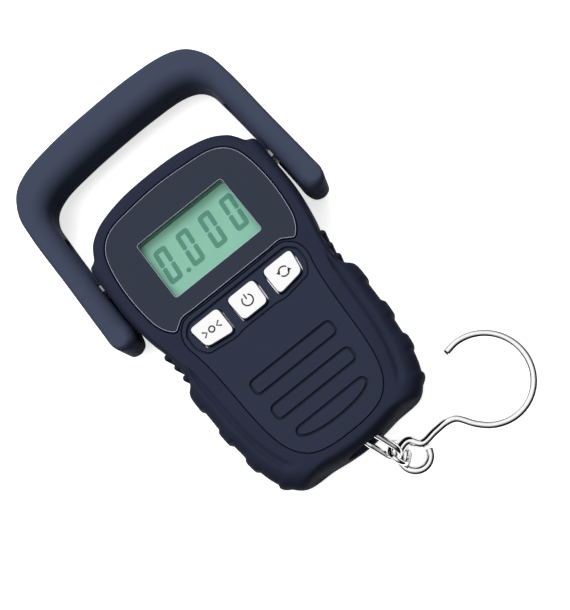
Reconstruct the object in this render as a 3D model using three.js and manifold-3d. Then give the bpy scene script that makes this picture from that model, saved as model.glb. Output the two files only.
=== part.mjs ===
// A hand-held digital fish scale, lying on its back with its hook swung out to one side.
// Millimetres, +X to the right of the display, +Y towards the handle, +Z out of the display.
// The origin is the middle of the body, on the flat back that it rests on.
import * as THREE from 'three';
import { mergeVertices } from 'three/addons/utils/BufferGeometryUtils.js';
import Module from 'manifold-3d';

const wasm = await Module();
wasm.setup();

// Clearances
const seatGap = 0.3;
const slideGap = 0.35;
const glueGap = 0.05;
const overrun = 2;

// Sides of round things and steps of curves
const roundSides = 16;
const boreSides = 8;
const cornerSteps = 3;
const hookSteps = 50;
const linkSteps = 22;

// Driving sizes of the body
const bodyHalfLength = 60.3;
const partingGap = 0.3;
const wall = 2.2;
const cornerSharpness = 2.5;

// Battery bay, for two cells lying across the body
const cellRadius = 5.25;
const cellLength = 44.5;
const cellPitch = 11.6;
const cellNubRadius = 1.9;
const cellNubLength = 0.8;
const coverThickness = 1.8;
const coverTab = 2;
const coverTabWidth = 6;
const contactThickness = 0.5;
const springTurns = 4;
const springWire = 0.8;
const springLength = 4.3;
const springSides = 4;
const springSteps = 7;
const bayMargin = 0.5;
const fingerRoom = 0.75;
const bayHalfWidth = (cellLength + springLength) / 2 + contactThickness + 2 * seatGap + bayMargin;
const bayHalfHeight = cellPitch / 2 + cellRadius + seatGap + fingerRoom;
const bayCentreDrop = 35.8;
const bayCentre = bodyHalfLength - bayCentreDrop;
const bayWall = 1.3;
const cellHeight = coverThickness + seatGap + cellRadius + seatGap;
const bayRoof = cellHeight + cellRadius + seatGap;

// Display
const displayHalfWidth = 18.25;
const displayHalfHeight = 11.85;
const displayCorner = 1.2;
const glassMargin = 3.4;
const glassThickness = 2.2;
const lightThickness = 3.2;
const connectorWidth = 2.4;

// The width of the body is what the display and the board beside it need
const screwRadius = 1.45;
const screwHeadRadius = 2.7;
const postSpacing = 1.25;
const boardPostInset = 2.9;
const boardMargin = 8.6;
const boardPostX = displayHalfWidth + glassMargin + screwHeadRadius + postSpacing;
const boardHalfWidth = boardPostX + boardPostInset;
const bodyHalfWidth = boardHalfWidth + boardMargin;

// The depth of the body is stacked from what it holds, from the back to the front
const boardClearance = 1;
const boardThickness = 1.6;
const ceilingWall = 1.7;
const inlayThickness = 1.6;
const boardUnderside = bayRoof + bayWall + boardClearance;
const boardFace = boardUnderside + boardThickness;
const glassBottom = boardFace + lightThickness + 2 * seatGap;
const glassTop = glassBottom + glassThickness;
const ceiling = glassTop + seatGap;
const inlaySeat = ceiling + ceilingWall;
const inlayFloor = inlaySeat + seatGap;
const bodyDepth = inlayFloor + inlayThickness;
const partingHeight = bodyDepth / 2;

// Inlays in the front face: the window keeps its place under the top end, the panel reaches
// from the window to the bottom end
const windowMargin = 6.2;
const windowTopMargin = 8.1;
const windowHeight = 43.8;
const windowHalfWidth = bodyHalfWidth - windowMargin;
const windowTop = bodyHalfLength - windowTopMargin;
const windowBottom = windowTop - windowHeight;
const displayDrop = 25;
const displayCentre = windowTop - displayDrop;
const inlaySpacing = 1.1;
const panelMargin = 12.2;
const panelBottomMargin = 5.5;
const panelHalfWidth = bodyHalfWidth - panelMargin;
const panelTop = windowBottom - inlaySpacing;
const panelBottom = panelBottomMargin - bodyHalfLength;
const surroundDepth = 0.5;
const grooveWidth = 0.7;
const grooveDepth = 0.6;

// Circuit board
const boardTopMargin = 15.8;
const boardLength = 54.5;
const boardTop = bodyHalfLength - boardTopMargin;
const boardBottom = boardTop - boardLength;
const upperPostInset = 3.5;
const lowerPostInset = 2;
const boardPostY = [boardTop - upperPostInset, boardBottom + lowerPostInset];
const boardPostRadius = 2.3;

// Buttons
const buttonProud = 0.9;
const buttonTop = bodyDepth + buttonProud;
const buttonFlange = 1.1;
const buttonFlangeDepth = 1.2;
const buttonRound = 1.3;
const buttonBevel = 0.5;
const buttonTravel = 0.8;
const keypadThickness = 1.1;

// Handle, which slides and swings on two pins
const pinDrop = 20.8;
const handlePinHeight = bodyHalfLength - pinDrop;
const handleClearance = 0.9;
const handleArmWidth = 8.8;
const handleInnerHalfWidth = bodyHalfWidth + handleClearance;
const handleOuterHalfWidth = handleInnerHalfWidth + handleArmWidth;
const handleReach = 56.4;
const handleTop = handlePinHeight + handleReach;
const gripHeight = 13.5;
const handleGripUnderside = handleTop - gripHeight;
const footDrop = 23.5;
const handleFoot = handlePinHeight - footDrop;
const handleDepth = 17;
const handleOuterRound = 1.8;
const handleInnerRound = 3.4;
const handleCock = 1.9;
const slotDepth = 4.6;
const slotRise = 26.5;
const slotFall = 16.7;

// Handle pins
const pinStudRadius = 3.5;
const pinJournalRadius = 3;
const pinCollarRadius = 4.4;
const pinCollarLength = 2.6;
const pinStudReach = 3.4;
const slotWidth = 2 * (pinStudRadius + slideGap);
const slotTop = handlePinHeight + slotRise;
const slotBottom = handlePinHeight - slotFall;

// Screws, all self tapping with pan heads
const screwHeadHeight = 1.9;
const screwCross = 0.7;
const bossRadius = 3.2;
const headBossRadius = 3.8;
const housingScrewLength = 15;
const housingHeadSeat = 5;
const upperScrewInset = 16.1;
const upperScrewDrop = 11.8;
const lowerScrewInset = 18.6;
const lowerScrewRise = 10.8;
const upperScrew = [bodyHalfWidth - upperScrewInset, bodyHalfLength - upperScrewDrop];
const lowerScrew = [bodyHalfWidth - lowerScrewInset, lowerScrewRise - bodyHalfLength];
const housingScrews = [upperScrew, lowerScrew].flatMap(([x, y]) => [[x, y], [-x, y]]);
const handleScrewLength = 9;
const handleHeadSeat = 4.2;
const footScrewRise = 3.6;
const gripScrewInset = 13.8;
const gripScrewDrop = 8.3;
const footScrew = [handleInnerHalfWidth + handleArmWidth / 2, handleFoot + footScrewRise];
const gripScrew = [handleOuterHalfWidth - gripScrewInset, handleTop - gripScrewDrop];
const handleScrews = [footScrew, gripScrew].flatMap(([x, y]) => [[x, y], [-x, y]]);
const boardScrewLength = 5;

// Load cell, eye bolt, chain and hook, all hung from the bottom end
const beamMargin = 11.1;
const beamHalfLength = bodyHalfWidth - beamMargin;
const beamWidth = 10;
const beamDepth = 8;
const beamRise = 21.3;
const beamCentre = beamRise - bodyHalfLength;
const beamDrop = 0.5;
const beamMiddle = partingHeight - beamDrop;
const beamUnderside = beamMiddle - beamDepth / 2;
const beamScrewInset = 5;
const beamScrewX = beamHalfLength - beamScrewInset;
const beamScrewLength = 12;
const beamBoreRadius = 3;
const beamBoreSpacing = 9;
const eyeRingRadius = 3.3;
const eyeWire = 2.2;
const eyeRingRise = 8.7;
const eyeRingCentre = eyeRingRise - bodyHalfLength;
const eyeAngle = -65;
const nutRadius = 3.6;
const nutHeight = 3;
const chainMouthHalfWidth = 6.8;
const chainMouthHalfDepth = 7;
const upperLinkWire = 2;
const upperLinkInnerWidth = 4.4;
const lowerLinkWire = 1.7;
const lowerLinkInnerWidth = 5;
const lowerLinkInnerLength = 10.2;
const linkPlay = 0.75;
const linkMeetingX = 6.5;
const linkMeetingDrop = 8.3;
const linkMeetingY = -bodyHalfLength - linkMeetingDrop;
const linkMeetingHeight = 9.2;
const hookWire = 3;
const hookEyeX = 10.8;
const hookEyeDrop = 11;
const hookEyeY = -bodyHalfLength - hookEyeDrop;
const hookEyeHeight = 4.6;
const hookEyeRadius = 5.1;
const hookEyeAngles = [-12, -285];
const hookContact = 120;
const hookBowRadius = 15.5;
const hookBowX = 34.2;
const hookBowY = 5.2;
const hookBowAngles = [-142, 107];

// Outlines, from the top of the middle line down the right side to its bottom, as shares of
// the body's half width and half length. The left side mirrors the right one.
const girthShares = [
  [0, 1], [0.337, 0.99], [0.593, 0.957], [0.712, 0.927], [0.83, 0.874], [0.876, 0.834],
  [0.922, 0.787], [0.988, 0.772], [1, 0.742], [1, 0.55], [0.99, 0.365], [0.94, 0.168],
  [0.905, 0.09], [0.876, 0], [0.868, -0.07], [0.871, -0.138], [0.905, -0.17], [0.93, -0.2],
  [0.932, -0.28], [0.925, -0.4], [0.915, -0.5], [0.89, -0.62], [0.862, -0.74], [0.815, -0.84],
  [0.742, -0.92], [0.636, -0.975], [0.46, -0.968], [0.22, -0.99], [0, -1],
];
const faceShares = [
  [0, 0.897], [0.31, 0.888], [0.54, 0.858], [0.65, 0.83], [0.74, 0.785], [0.79, 0.74],
  [0.828, 0.69], [0.85, 0.63], [0.865, 0.56], [0.876, 0.45], [0.878, 0.33], [0.862, 0.18],
  [0.842, 0.1], [0.81, 0.01], [0.78, -0.07], [0.758, -0.138], [0.746, -0.18], [0.737, -0.22],
  [0.723, -0.3], [0.708, -0.41], [0.694, -0.51], [0.668, -0.62], [0.62, -0.73], [0.56, -0.82],
  [0.49, -0.88], [0.4, -0.913], [0.29, -0.93], [0.15, -0.94], [0, -0.944],
];
const backSpreadShare = 1.05;
const hollowShares = [
  [0, 0.962], [0.38, 0.945], [0.65, 0.9], [0.79, 0.83], [0.87, 0.75], [0.93, 0.64], [0.936, 0.37],
  [0.88, 0.17], [0.81, 0], [0.805, -0.13], [0.845, -0.25], [0.845, -0.5], [0.81, -0.69],
  [0.71, -0.85], [0.54, -0.93], [0.27, -0.953], [0, -0.957],
];
const hollowTaperShare = 0.06;
const windowShares = [
  [0, 1], [0.36, 0.985], [0.69, 0.95], [0.83, 0.895], [0.922, 0.81], [0.977, 0.665], [1, 0.405],
  [0.962, 0.132], [0.929, 0.053], [0.874, -0.016], [0.806, -0.055], [0.735, -0.028],
  [0.67, 0], [0.5, 0], [0, 0],
];
const panelShares = [
  [0, 1], [0.4, 1], [0.81, 1], [0.875, 0.986], [0.955, 0.953], [0.995, 0.91], [0.998, 0.865],
  [0.964, 0.8], [0.924, 0.688], [0.896, 0.54], [0.863, 0.34], [0.819, 0.216], [0.755, 0.134],
  [0.659, 0.074], [0.522, 0.031], [0.301, 0.0065], [0, 0],
];

// Grip lumps along the side, as shares of the half length: middle, half length
const gripLumpShares = [[-0.238, 0.062], [-0.498, 0.047], [-0.706, 0.042], [-0.9, 0.018]];
const gripRelief = 1;
const gripBlendShare = 0.012;
const ridgeShares = [0.052, -0.027, -0.107];
const ridgeRadius = 1.25;
const ridgeHalfDepth = 8;

// Corners of the left button and of the middle one, and of the tray round all three, in millimetres
const buttonDrop = 3.4;
const buttonLine = panelTop - buttonDrop;
const sideButtonShares = [-0.8594, -0.3695];
const sideButtonOuterHeight = 9;
const sideButtonInnerHeight = 10.5;
const sideButtonLean = 1.5;
const middleButtonShare = 0.2309;
const middleButtonHeight = 9.8;
const middleButtonTaper = 0.5;
const sideButton = {
  left: sideButtonShares[0] * panelHalfWidth,
  right: sideButtonShares[1] * panelHalfWidth,
  top: buttonLine,
  outerBottom: buttonLine - sideButtonOuterHeight,
  innerBottom: buttonLine - sideButtonInnerHeight,
  lean: sideButtonLean,
};
const middleButton = {
  halfWidth: middleButtonShare * panelHalfWidth,
  top: buttonLine,
  bottom: buttonLine - middleButtonHeight,
  taper: middleButtonTaper,
};
const surroundMargin = 2.1;

// Three grooved pads below the buttons, which rise from the bottom of the panel
const padInsets = [8.1, 8.7, 10.8];
const padRises = [32.5, 22, 11.6];
const padHeights = [6.1, 6.1, 3.8];
const padRound = 1.7;
const lastPadSag = 2.4;
const pads = padInsets.map((insetWidth, i) => ({
  halfWidth: panelHalfWidth - insetWidth,
  top: panelBottom + padRises[i],
  bottom: panelBottom + padRises[i] - padHeights[i],
  round: padRound,
  sag: i === padInsets.length - 1 ? lastPadSag : 0,
}));

// Colours and finishes
function finish(color, roughness, metalness = 0) {
  return new THREE.MeshStandardMaterial({ color, roughness, metalness });
}
const shellFinish = finish('#33384a', 0.55);
const panelFinish = finish('#31364a', 0.5);
const handleFinish = finish('#3b4156', 0.55);
const windowFinish = finish('#2b3043', 0.08);
const glassFinish = finish('#86c8a8', 0.2);
const lightFinish = finish('#c9f2dc', 0.4);
const boardFinish = finish('#1f6b3e', 0.5);
const rubberFinish = finish('#8b8f96', 0.8);
const chromeFinish = finish('#d9dcdf', 0.08, 1);
const steelFinish = finish('#b5b8bb', 0.3, 1);
const aluminiumFinish = finish('#c4c7ca', 0.45, 1);
const epoxyFinish = finish('#15161a', 0.6);
const cellFinish = finish('#5f6670', 0.35, 0.4);

const group = new THREE.Group();

function place(parent, name, geometry, material, x = 0, y = 0, z = 0) {
  const mesh = new THREE.Mesh(geometry, material);
  mesh.name = name;
  mesh.position.set(x, y, z);
  parent.add(mesh);
  return mesh;
}

// Solids: a closed mesh becomes a body that can be joined and cut
function bodyOf(geometry) {
  const bare = geometry.clone();
  bare.deleteAttribute('normal');
  bare.deleteAttribute('uv');
  const merged = mergeVertices(bare, 1e-4);
  const corners = merged.index.array;
  const kept = [];
  for (let i = 0; i < corners.length; i += 3) {
    const [a, b, c] = corners.slice(i, i + 3);
    if (a !== b && b !== c && c !== a) {
      kept.push(a, b, c);
    }
  }
  return new wasm.Manifold(new wasm.Mesh({
    numProp: 3,
    vertProperties: new Float32Array(merged.attributes.position.array),
    triVerts: new Uint32Array(kept),
  }));
}

function geometryOf(body) {
  const mesh = body.getMesh();
  const geometry = new THREE.BufferGeometry();
  geometry.setAttribute('position', new THREE.BufferAttribute(mesh.vertProperties, 3));
  geometry.setIndex(new THREE.BufferAttribute(mesh.triVerts, 1));
  geometry.computeVertexNormals();
  return geometry;
}

function join(first, ...others) {
  return geometryOf(others.reduce((body, other) => body.add(bodyOf(other)), bodyOf(first)));
}

function cut(first, ...tools) {
  return geometryOf(tools.reduce((body, tool) => body.subtract(bodyOf(tool)), bodyOf(first)));
}

function moved(geometry, x, y, z) {
  return geometry.clone().translate(x, y, z);
}

function block(x0, x1, y0, y1, z0, z1) {
  const box = new THREE.BoxGeometry(x1 - x0, y1 - y0, z1 - z0);
  return box.translate((x0 + x1) / 2, (y0 + y1) / 2, (z0 + z1) / 2);
}

function column(radius, bottom, top, x, y, sides = roundSides) {
  const cylinder = new THREE.CylinderGeometry(radius, radius, top - bottom, sides);
  return cylinder.rotateX(Math.PI / 2).translate(x, y, (bottom + top) / 2);
}

// A closed loop of points through mirrored shares of a width and a height
function mirroredLoop(shares, halfWidth, height, base, steps) {
  const right = shares.map(([x, y]) => new THREE.Vector3(x * halfWidth, base + y * height, 0));
  const left = right.slice(1, -1).reverse().map((p) => new THREE.Vector3(-p.x, p.y, 0));
  const curve = new THREE.CatmullRomCurve3([...right, ...left], true, 'centripetal');
  const points = curve.getPoints(steps * curve.points.length).slice(0, -1);
  return points.reverse().map((p) => new THREE.Vector2(p.x, p.y));
}

// Moves every point of an anticlockwise loop inwards by a distance, or by one per point
function inset(loop, distance) {
  return loop.map((point, i) => {
    const before = loop[(i + loop.length - 1) % loop.length];
    const after = loop[(i + 1) % loop.length];
    const along = after.clone().sub(before).normalize();
    const depth = Array.isArray(distance) ? distance[i] : distance;
    return new THREE.Vector2(point.x - along.y * depth, point.y + along.x * depth);
  });
}

function blendLoops(first, second, share) {
  return first.map((point, i) => point.clone().lerp(second[i], share));
}

// A closed skin over rings of equally many points, each ring at its height
function loft(rings) {
  const count = rings[0].loop.length;
  const positions = rings.flatMap(({ loop, height }) => loop.flatMap((p) => [p.x, p.y, height]));
  const indices = [];
  for (let ring = 0; ring < rings.length - 1; ring += 1) {
    for (let i = 0; i < count; i += 1) {
      const a = ring * count + i;
      const b = ring * count + (i + 1) % count;
      indices.push(a, b, b + count, a, b + count, a + count);
    }
  }
  const last = (rings.length - 1) * count;
  for (const [a, b, c] of THREE.ShapeUtils.triangulateShape(rings[0].loop, [])) {
    indices.push(c, b, a);
  }
  for (const [a, b, c] of THREE.ShapeUtils.triangulateShape(rings.at(-1).loop, [])) {
    indices.push(last + a, last + b, last + c);
  }
  const geometry = new THREE.BufferGeometry();
  geometry.setAttribute('position', new THREE.Float32BufferAttribute(positions, 3));
  geometry.setIndex(indices);
  return geometry;
}

// How far a point of a loop lies off the line between its neighbours
function offLine(loop, i) {
  const before = loop[(i + loop.length - 1) % loop.length];
  const after = loop[(i + 1) % loop.length];
  const chord = after.clone().sub(before);
  return Math.abs(chord.cross(loop[i].clone().sub(before))) / chord.length();
}

// Leaves out the points in the middle of a straight stretch
const straightness = 0.01;

function withoutStraightPoints(loop) {
  return loop.filter((_, i) => offLine(loop, i) > straightness);
}

function prism(loop, bottom, top) {
  const clean = withoutStraightPoints(loop);
  return loft([{ loop: clean, height: bottom }, { loop: clean, height: top }]);
}

// How far the girth has drawn in towards a flat face, as a share, at a share of the way to it
function drawnIn(share) {
  return 1 - (1 - share ** cornerSharpness) ** (1 / cornerSharpness);
}

const fineGirth = mirroredLoop(girthShares, bodyHalfWidth, bodyHalfLength, 0, 2);
const fineFace = mirroredLoop(faceShares, bodyHalfWidth, bodyHalfLength, 0, 2);
const hollow = mirroredLoop(hollowShares, bodyHalfWidth, bodyHalfLength, 0, 1);

// The lumps that the fingers hold, which fade towards both faces
function lumpAt(y) {
  const share = y / bodyHalfLength;
  const lumps = gripLumpShares.map(([middle, half]) => {
    const past = Math.abs(share - middle) - half;
    return 1 - THREE.MathUtils.smoothstep(past, -gripBlendShare, gripBlendShare);
  });
  return gripRelief * Math.max(...lumps);
}

// The girth and the face keep a point between two given ones only where either loop bends
const bend = 0.14;

const grippedGirth = fineGirth.map((p) => new THREE.Vector2(p.x + lumpAt(p.y) * Math.sign(p.x), p.y));
const isKept = fineGirth.map((_, i) => (
  i % 2 === 1 || Math.max(offLine(grippedGirth, i), offLine(fineFace, i)) > bend));
const girth = fineGirth.filter((_, i) => isKept[i]);
const face = fineFace.filter((_, i) => isKept[i]);
const back = face.map((p) => p.clone().multiplyScalar(backSpreadShare));

function grippedLoop(flatLoop, share) {
  const loop = blendLoops(girth, flatLoop, drawnIn(share));
  return loop.map((p, i) => {
    const relief = lumpAt(girth[i].y) * (1 - share ** 2) * Math.sign(p.x);
    return new THREE.Vector2(p.x + relief, p.y);
  });
}

// One half of the body: its outside, from the parting plane to a flat face
const ringShares = [0, 0.5, 0.8, 0.95, 1];

function halfBody(flatLoop, partingPlane, flatHeight) {
  const rings = ringShares.map((share) => ({
    loop: grippedLoop(flatLoop, share),
    height: partingPlane + share * (flatHeight - partingPlane),
  }));
  return loft(flatHeight > partingPlane ? rings : rings.reverse());
}

// The room inside one half, which narrows towards its flat end
function cavity(start, end) {
  const stepShares = [0, 0.6, 1];
  const rings = stepShares.map((share) => ({
    loop: hollow.map((p) => p.clone().multiplyScalar(1 - hollowTaperShare * share ** 2)),
    height: start + share * (end - start),
  }));
  return loft(end > start ? rings : rings.reverse());
}

function ridges(bottom, top) {
  return [-1, 1].flatMap((side) => ridgeShares.map((share) => {
    const near = girth.filter((p) => Math.sign(p.x) === side);
    const spot = near.reduce((best, p) => (
      Math.abs(p.y - share * bodyHalfLength) < Math.abs(best.y - share * bodyHalfLength) ? p : best));
    return column(ridgeRadius, bottom, top, spot.x, share * bodyHalfLength, boreSides);
  }));
}

function pinBore() {
  const bore = new THREE.CylinderGeometry(
    pinJournalRadius + seatGap, pinJournalRadius + seatGap, 2 * (bodyHalfWidth + overrun), roundSides);
  return bore.rotateZ(Math.PI / 2).translate(0, handlePinHeight, partingHeight);
}

// Room for the collars of the pins, just inside the side walls
function collarRooms() {
  const end = bodyHalfWidth - wall;
  const start = end - slideGap - pinCollarLength - seatGap;
  return [-1, 1].map((side) => {
    const radius = pinCollarRadius + seatGap;
    const room = new THREE.CylinderGeometry(radius, radius, end - start, roundSides);
    return room.rotateZ(Math.PI / 2).translate(side * (start + end) / 2, handlePinHeight, partingHeight);
  });
}

// The mouth in the bottom wall that the chain leaves by
function chainMouth() {
  const mouth = new THREE.CylinderGeometry(1, 1, wall * 2 + overrun * 2, roundSides);
  mouth.scale(chainMouthHalfWidth, 1, chainMouthHalfDepth);
  return mouth.translate(0, -bodyHalfLength + wall / 2, partingHeight);
}

// Rounded polygons, for buttons, pads and openings
function roundedLoop(corners, radius, steps = cornerSteps) {
  const points = [];
  corners.forEach((corner, i) => {
    const before = corners[(i + corners.length - 1) % corners.length];
    const after = corners[(i + 1) % corners.length];
    const start = corner.clone().add(before.clone().sub(corner).setLength(radius));
    const end = corner.clone().add(after.clone().sub(corner).setLength(radius));
    points.push(...new THREE.QuadraticBezierCurve(start, corner, end).getPoints(steps));
  });
  return points;
}

function rectangleLoop(halfWidth, bottom, top, radius) {
  return roundedLoop([
    new THREE.Vector2(-halfWidth, bottom), new THREE.Vector2(halfWidth, bottom),
    new THREE.Vector2(halfWidth, top), new THREE.Vector2(-halfWidth, top),
  ], radius);
}

function sideButtonLoop(side, margin = 0) {
  const b = sideButton;
  const corners = [
    new THREE.Vector2(b.left - margin, b.top + margin),
    new THREE.Vector2(b.left + b.lean - margin, b.outerBottom - margin),
    new THREE.Vector2(b.right + margin, b.innerBottom - margin),
    new THREE.Vector2(b.right + margin, b.top + margin),
  ];
  if (side < 0) {
    return roundedLoop(corners, buttonRound + margin);
  }
  return roundedLoop(corners.reverse().map((p) => new THREE.Vector2(-p.x, p.y)), buttonRound + margin);
}

function middleButtonLoop(margin = 0) {
  const b = middleButton;
  return roundedLoop([
    new THREE.Vector2(-b.halfWidth - margin, b.top + margin),
    new THREE.Vector2(-b.halfWidth + b.taper - margin, b.bottom - margin),
    new THREE.Vector2(b.halfWidth - b.taper + margin, b.bottom - margin),
    new THREE.Vector2(b.halfWidth + margin, b.top + margin),
  ], buttonRound + margin);
}

const flangeTop = ceiling - seatGap;
const flangeBottom = flangeTop - buttonFlangeDepth;
const buttonLoops = [
  ['tare_button', (margin) => sideButtonLoop(-1, margin)],
  ['power_button', (margin) => middleButtonLoop(margin)],
  ['unit_button', (margin) => sideButtonLoop(1, margin)],
];

function surroundLoop() {
  const b = sideButton;
  const m = middleButton;
  const margin = surroundMargin;
  const right = [
    new THREE.Vector2(m.halfWidth + margin / 2, m.bottom - margin),
    new THREE.Vector2(-b.right + margin / 2, b.innerBottom - margin),
    new THREE.Vector2(-b.left - b.lean + margin / 2, b.outerBottom - margin),
    new THREE.Vector2(-b.left + margin, b.outerBottom + margin),
    new THREE.Vector2(-b.left + margin, b.top - margin / 2),
    new THREE.Vector2(-b.left - margin / 2, b.top + margin),
  ];
  const left = right.map((p) => new THREE.Vector2(-p.x, p.y)).reverse();
  return roundedLoop([...right, ...left], buttonRound / 2, 2);
}

function buttonOpenings(bottom, top) {
  return buttonLoops.map(([, loop]) => prism(loop(seatGap), bottom, top));
}

// Seats of the window and the panel, and what shows through them
const windowLoop = mirroredLoop(windowShares, windowHalfWidth, windowHeight, windowBottom, 2);
const panelLoop = mirroredLoop(panelShares, panelHalfWidth, panelTop - panelBottom, panelBottom, 2);

// A post for a screw, or the hole for one
function screwPost(x, y, bottom, top, radius) {
  return column(radius, bottom, top, x, y, boreSides);
}

function frontHousing() {
  const start = partingHeight + partingGap / 2;
  const shell = cut(
    join(halfBody(face, start, bodyDepth), ...ridges(start, partingHeight + ridgeHalfDepth)),
    cavity(start - overrun, ceiling),
  );
  const postTop = ceiling + overrun / 2;
  const boardPostFoot = boardUnderside + boardThickness + seatGap;
  const boardPosts = [-1, 1].flatMap((side) => boardPostY.map((y) => [side * boardPostX, y]));
  const posts = [
    ...housingScrews.map(([x, y]) => screwPost(x, y, start, postTop, bossRadius)),
    ...boardPosts.map(([x, y]) => screwPost(x, y, boardPostFoot, postTop, boardPostRadius)),
  ];
  const pilotRadius = screwRadius + seatGap;
  const pilotTop = housingHeadSeat + housingScrewLength + overrun;
  const boardPilotTop = boardUnderside + boardScrewLength + overrun;
  const pilots = [
    ...housingScrews.map(([x, y]) => screwPost(x, y, start - overrun, pilotTop, pilotRadius)),
    ...boardPosts.map(([x, y]) => screwPost(x, y, boardUnderside, boardPilotTop, pilotRadius)),
  ];
  const opening = rectangleLoop(
    displayHalfWidth + seatGap, displayCentre - displayHalfHeight - seatGap,
    displayCentre + displayHalfHeight + seatGap, displayCorner);
  return cut(
    join(shell, ...posts),
    prism(inset(windowLoop, -seatGap), inlaySeat, bodyDepth + overrun),
    prism(inset(panelLoop, -seatGap), inlaySeat, bodyDepth + overrun),
    prism(opening, ceiling - overrun, bodyDepth),
    ...buttonOpenings(ceiling - overrun, bodyDepth),
    ...pilots, pinBore(), ...collarRooms(), chainMouth(),
  );
}

function rearHousing() {
  const end = partingHeight - partingGap / 2;
  const shell = cut(
    join(halfBody(back, end, 0), ...ridges(partingHeight - ridgeHalfDepth, end)),
    cavity(end + overrun, wall),
  );
  const bay = block(
    -bayHalfWidth - bayWall, bayHalfWidth + bayWall, bayCentre - bayHalfHeight - bayWall,
    bayCentre + bayHalfHeight + bayWall, wall / 2, bayRoof + bayWall);
  const bosses = housingScrews.map(([x, y]) => screwPost(x, y, wall / 2, end, headBossRadius));
  const beamBosses = [-1, 1].map((side) => screwPost(
    side * beamScrewX, beamCentre, wall / 2, beamUnderside - seatGap, bossRadius));
  const heads = housingScrews.map(([x, y]) => screwPost(
    x, y, -overrun, housingHeadSeat, screwHeadRadius + seatGap));
  const shanks = housingScrews.map(([x, y]) => screwPost(
    x, y, -overrun, end + overrun, screwRadius + seatGap));
  const beamPilots = [-1, 1].map((side) => screwPost(
    side * beamScrewX, beamCentre, wall, beamUnderside, screwRadius + seatGap));
  const bayHollow = block(
    -bayHalfWidth, bayHalfWidth, bayCentre - bayHalfHeight, bayCentre + bayHalfHeight, -overrun, bayRoof);
  const coverSeat = block(
    -bayHalfWidth - seatGap, bayHalfWidth + seatGap, bayCentre - bayHalfHeight - seatGap,
    bayCentre + bayHalfHeight + seatGap, -overrun, coverThickness + seatGap);
  const tabPockets = [-1, 1].map((side) => {
    const middle = side * bayHalfWidth / 2;
    const edge = bayCentre - bayHalfHeight;
    return block(
      middle - coverTabWidth / 2 - seatGap, middle + coverTabWidth / 2 + seatGap,
      edge - coverTab - 2 * seatGap, edge + overrun, coverThickness, coverThickness + 2 * coverTab);
  });
  return cut(
    join(shell, bay, ...bosses, ...beamBosses),
    bayHollow, coverSeat, ...tabPockets, ...heads, ...shanks, ...beamPilots,
    pinBore(), ...collarRooms(), chainMouth(),
  );
}

function displayWindow() {
  return prism(windowLoop, 0, inlayThickness);
}

// A groove that follows a loop
function groove(loop, depth, top) {
  return cut(
    prism(loop, top - depth, top + overrun),
    prism(inset(loop, grooveWidth), top - depth - overrun, top + 2 * overrun),
  );
}

function padLoop({ halfWidth, top, bottom, round, sag }) {
  if (sag === 0) {
    return rectangleLoop(halfWidth, bottom, top, round);
  }
  const low = bottom - sag;
  const shape = new THREE.Shape();
  shape.moveTo(0, low);
  shape.bezierCurveTo(0.62 * halfWidth, low, 0.98 * halfWidth, bottom - sag / 4, halfWidth, top - round);
  shape.quadraticCurveTo(halfWidth, top, halfWidth - round, top);
  shape.lineTo(round - halfWidth, top);
  shape.quadraticCurveTo(-halfWidth, top, -halfWidth, top - round);
  shape.bezierCurveTo(-0.98 * halfWidth, bottom - sag / 4, -0.62 * halfWidth, low, 0, low);
  return shape.getPoints(6).slice(0, -1);
}

function frontPanel() {
  return cut(
    prism(panelLoop, inlayFloor, bodyDepth),
    prism(surroundLoop(), bodyDepth - surroundDepth, bodyDepth + overrun),
    ...buttonOpenings(inlayFloor - overrun, bodyDepth + overrun),
    ...pads.map((pad) => groove(padLoop(pad), grooveDepth, bodyDepth)),
  );
}

function button(loop) {
  const shape = new THREE.Shape(inset(loop(0), buttonBevel));
  const cap = new THREE.ExtrudeGeometry(shape, {
    depth: buttonTop - flangeTop - buttonBevel + overrun / 4,
    bevelSize: buttonBevel, bevelThickness: buttonBevel, bevelSegments: 1, curveSegments: 1,
  });
  cap.translate(0, 0, flangeTop - overrun / 4);
  const trimmed = cut(cap, block(
    -bodyHalfWidth, bodyHalfWidth, -bodyHalfWidth, bodyHalfWidth, 0, flangeTop - overrun / 8));
  return join(trimmed, prism(loop(buttonFlange), flangeBottom, flangeTop));
}

function keypad() {
  const bottom = boardUnderside + boardThickness + seatGap;
  const b = sideButton;
  const sheet = prism(rectangleLoop(
    -b.left + buttonFlange, b.innerBottom - buttonFlange, b.top + buttonFlange, buttonRound),
    bottom, bottom + keypadThickness);
  const domes = buttonLoops.map(([, loop]) => {
    const base = loop(-buttonFlange / 2);
    return loft([
      { loop: base, height: bottom + keypadThickness / 2 },
      { loop: inset(base, buttonBevel / 2), height: flangeBottom - buttonTravel - seatGap },
    ]);
  });
  return join(sheet, ...domes);
}

function circuitBoard() {
  const outline = rectangleLoop(boardHalfWidth, boardBottom, boardTop, boardThickness);
  const plate = prism(outline, 0, boardThickness);
  const holes = [-1, 1].flatMap((side) => boardPostY.map((y) => screwPost(
    side * boardPostX, y, -overrun, boardThickness + overrun, screwRadius + seatGap)));
  return cut(plate, ...holes);
}

// A round body turned about Y, from its profile of radius and height
function turned(profile, sides = roundSides) {
  return new THREE.LatheGeometry(profile.map(([r, y]) => new THREE.Vector2(r, y)), sides);
}

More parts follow.
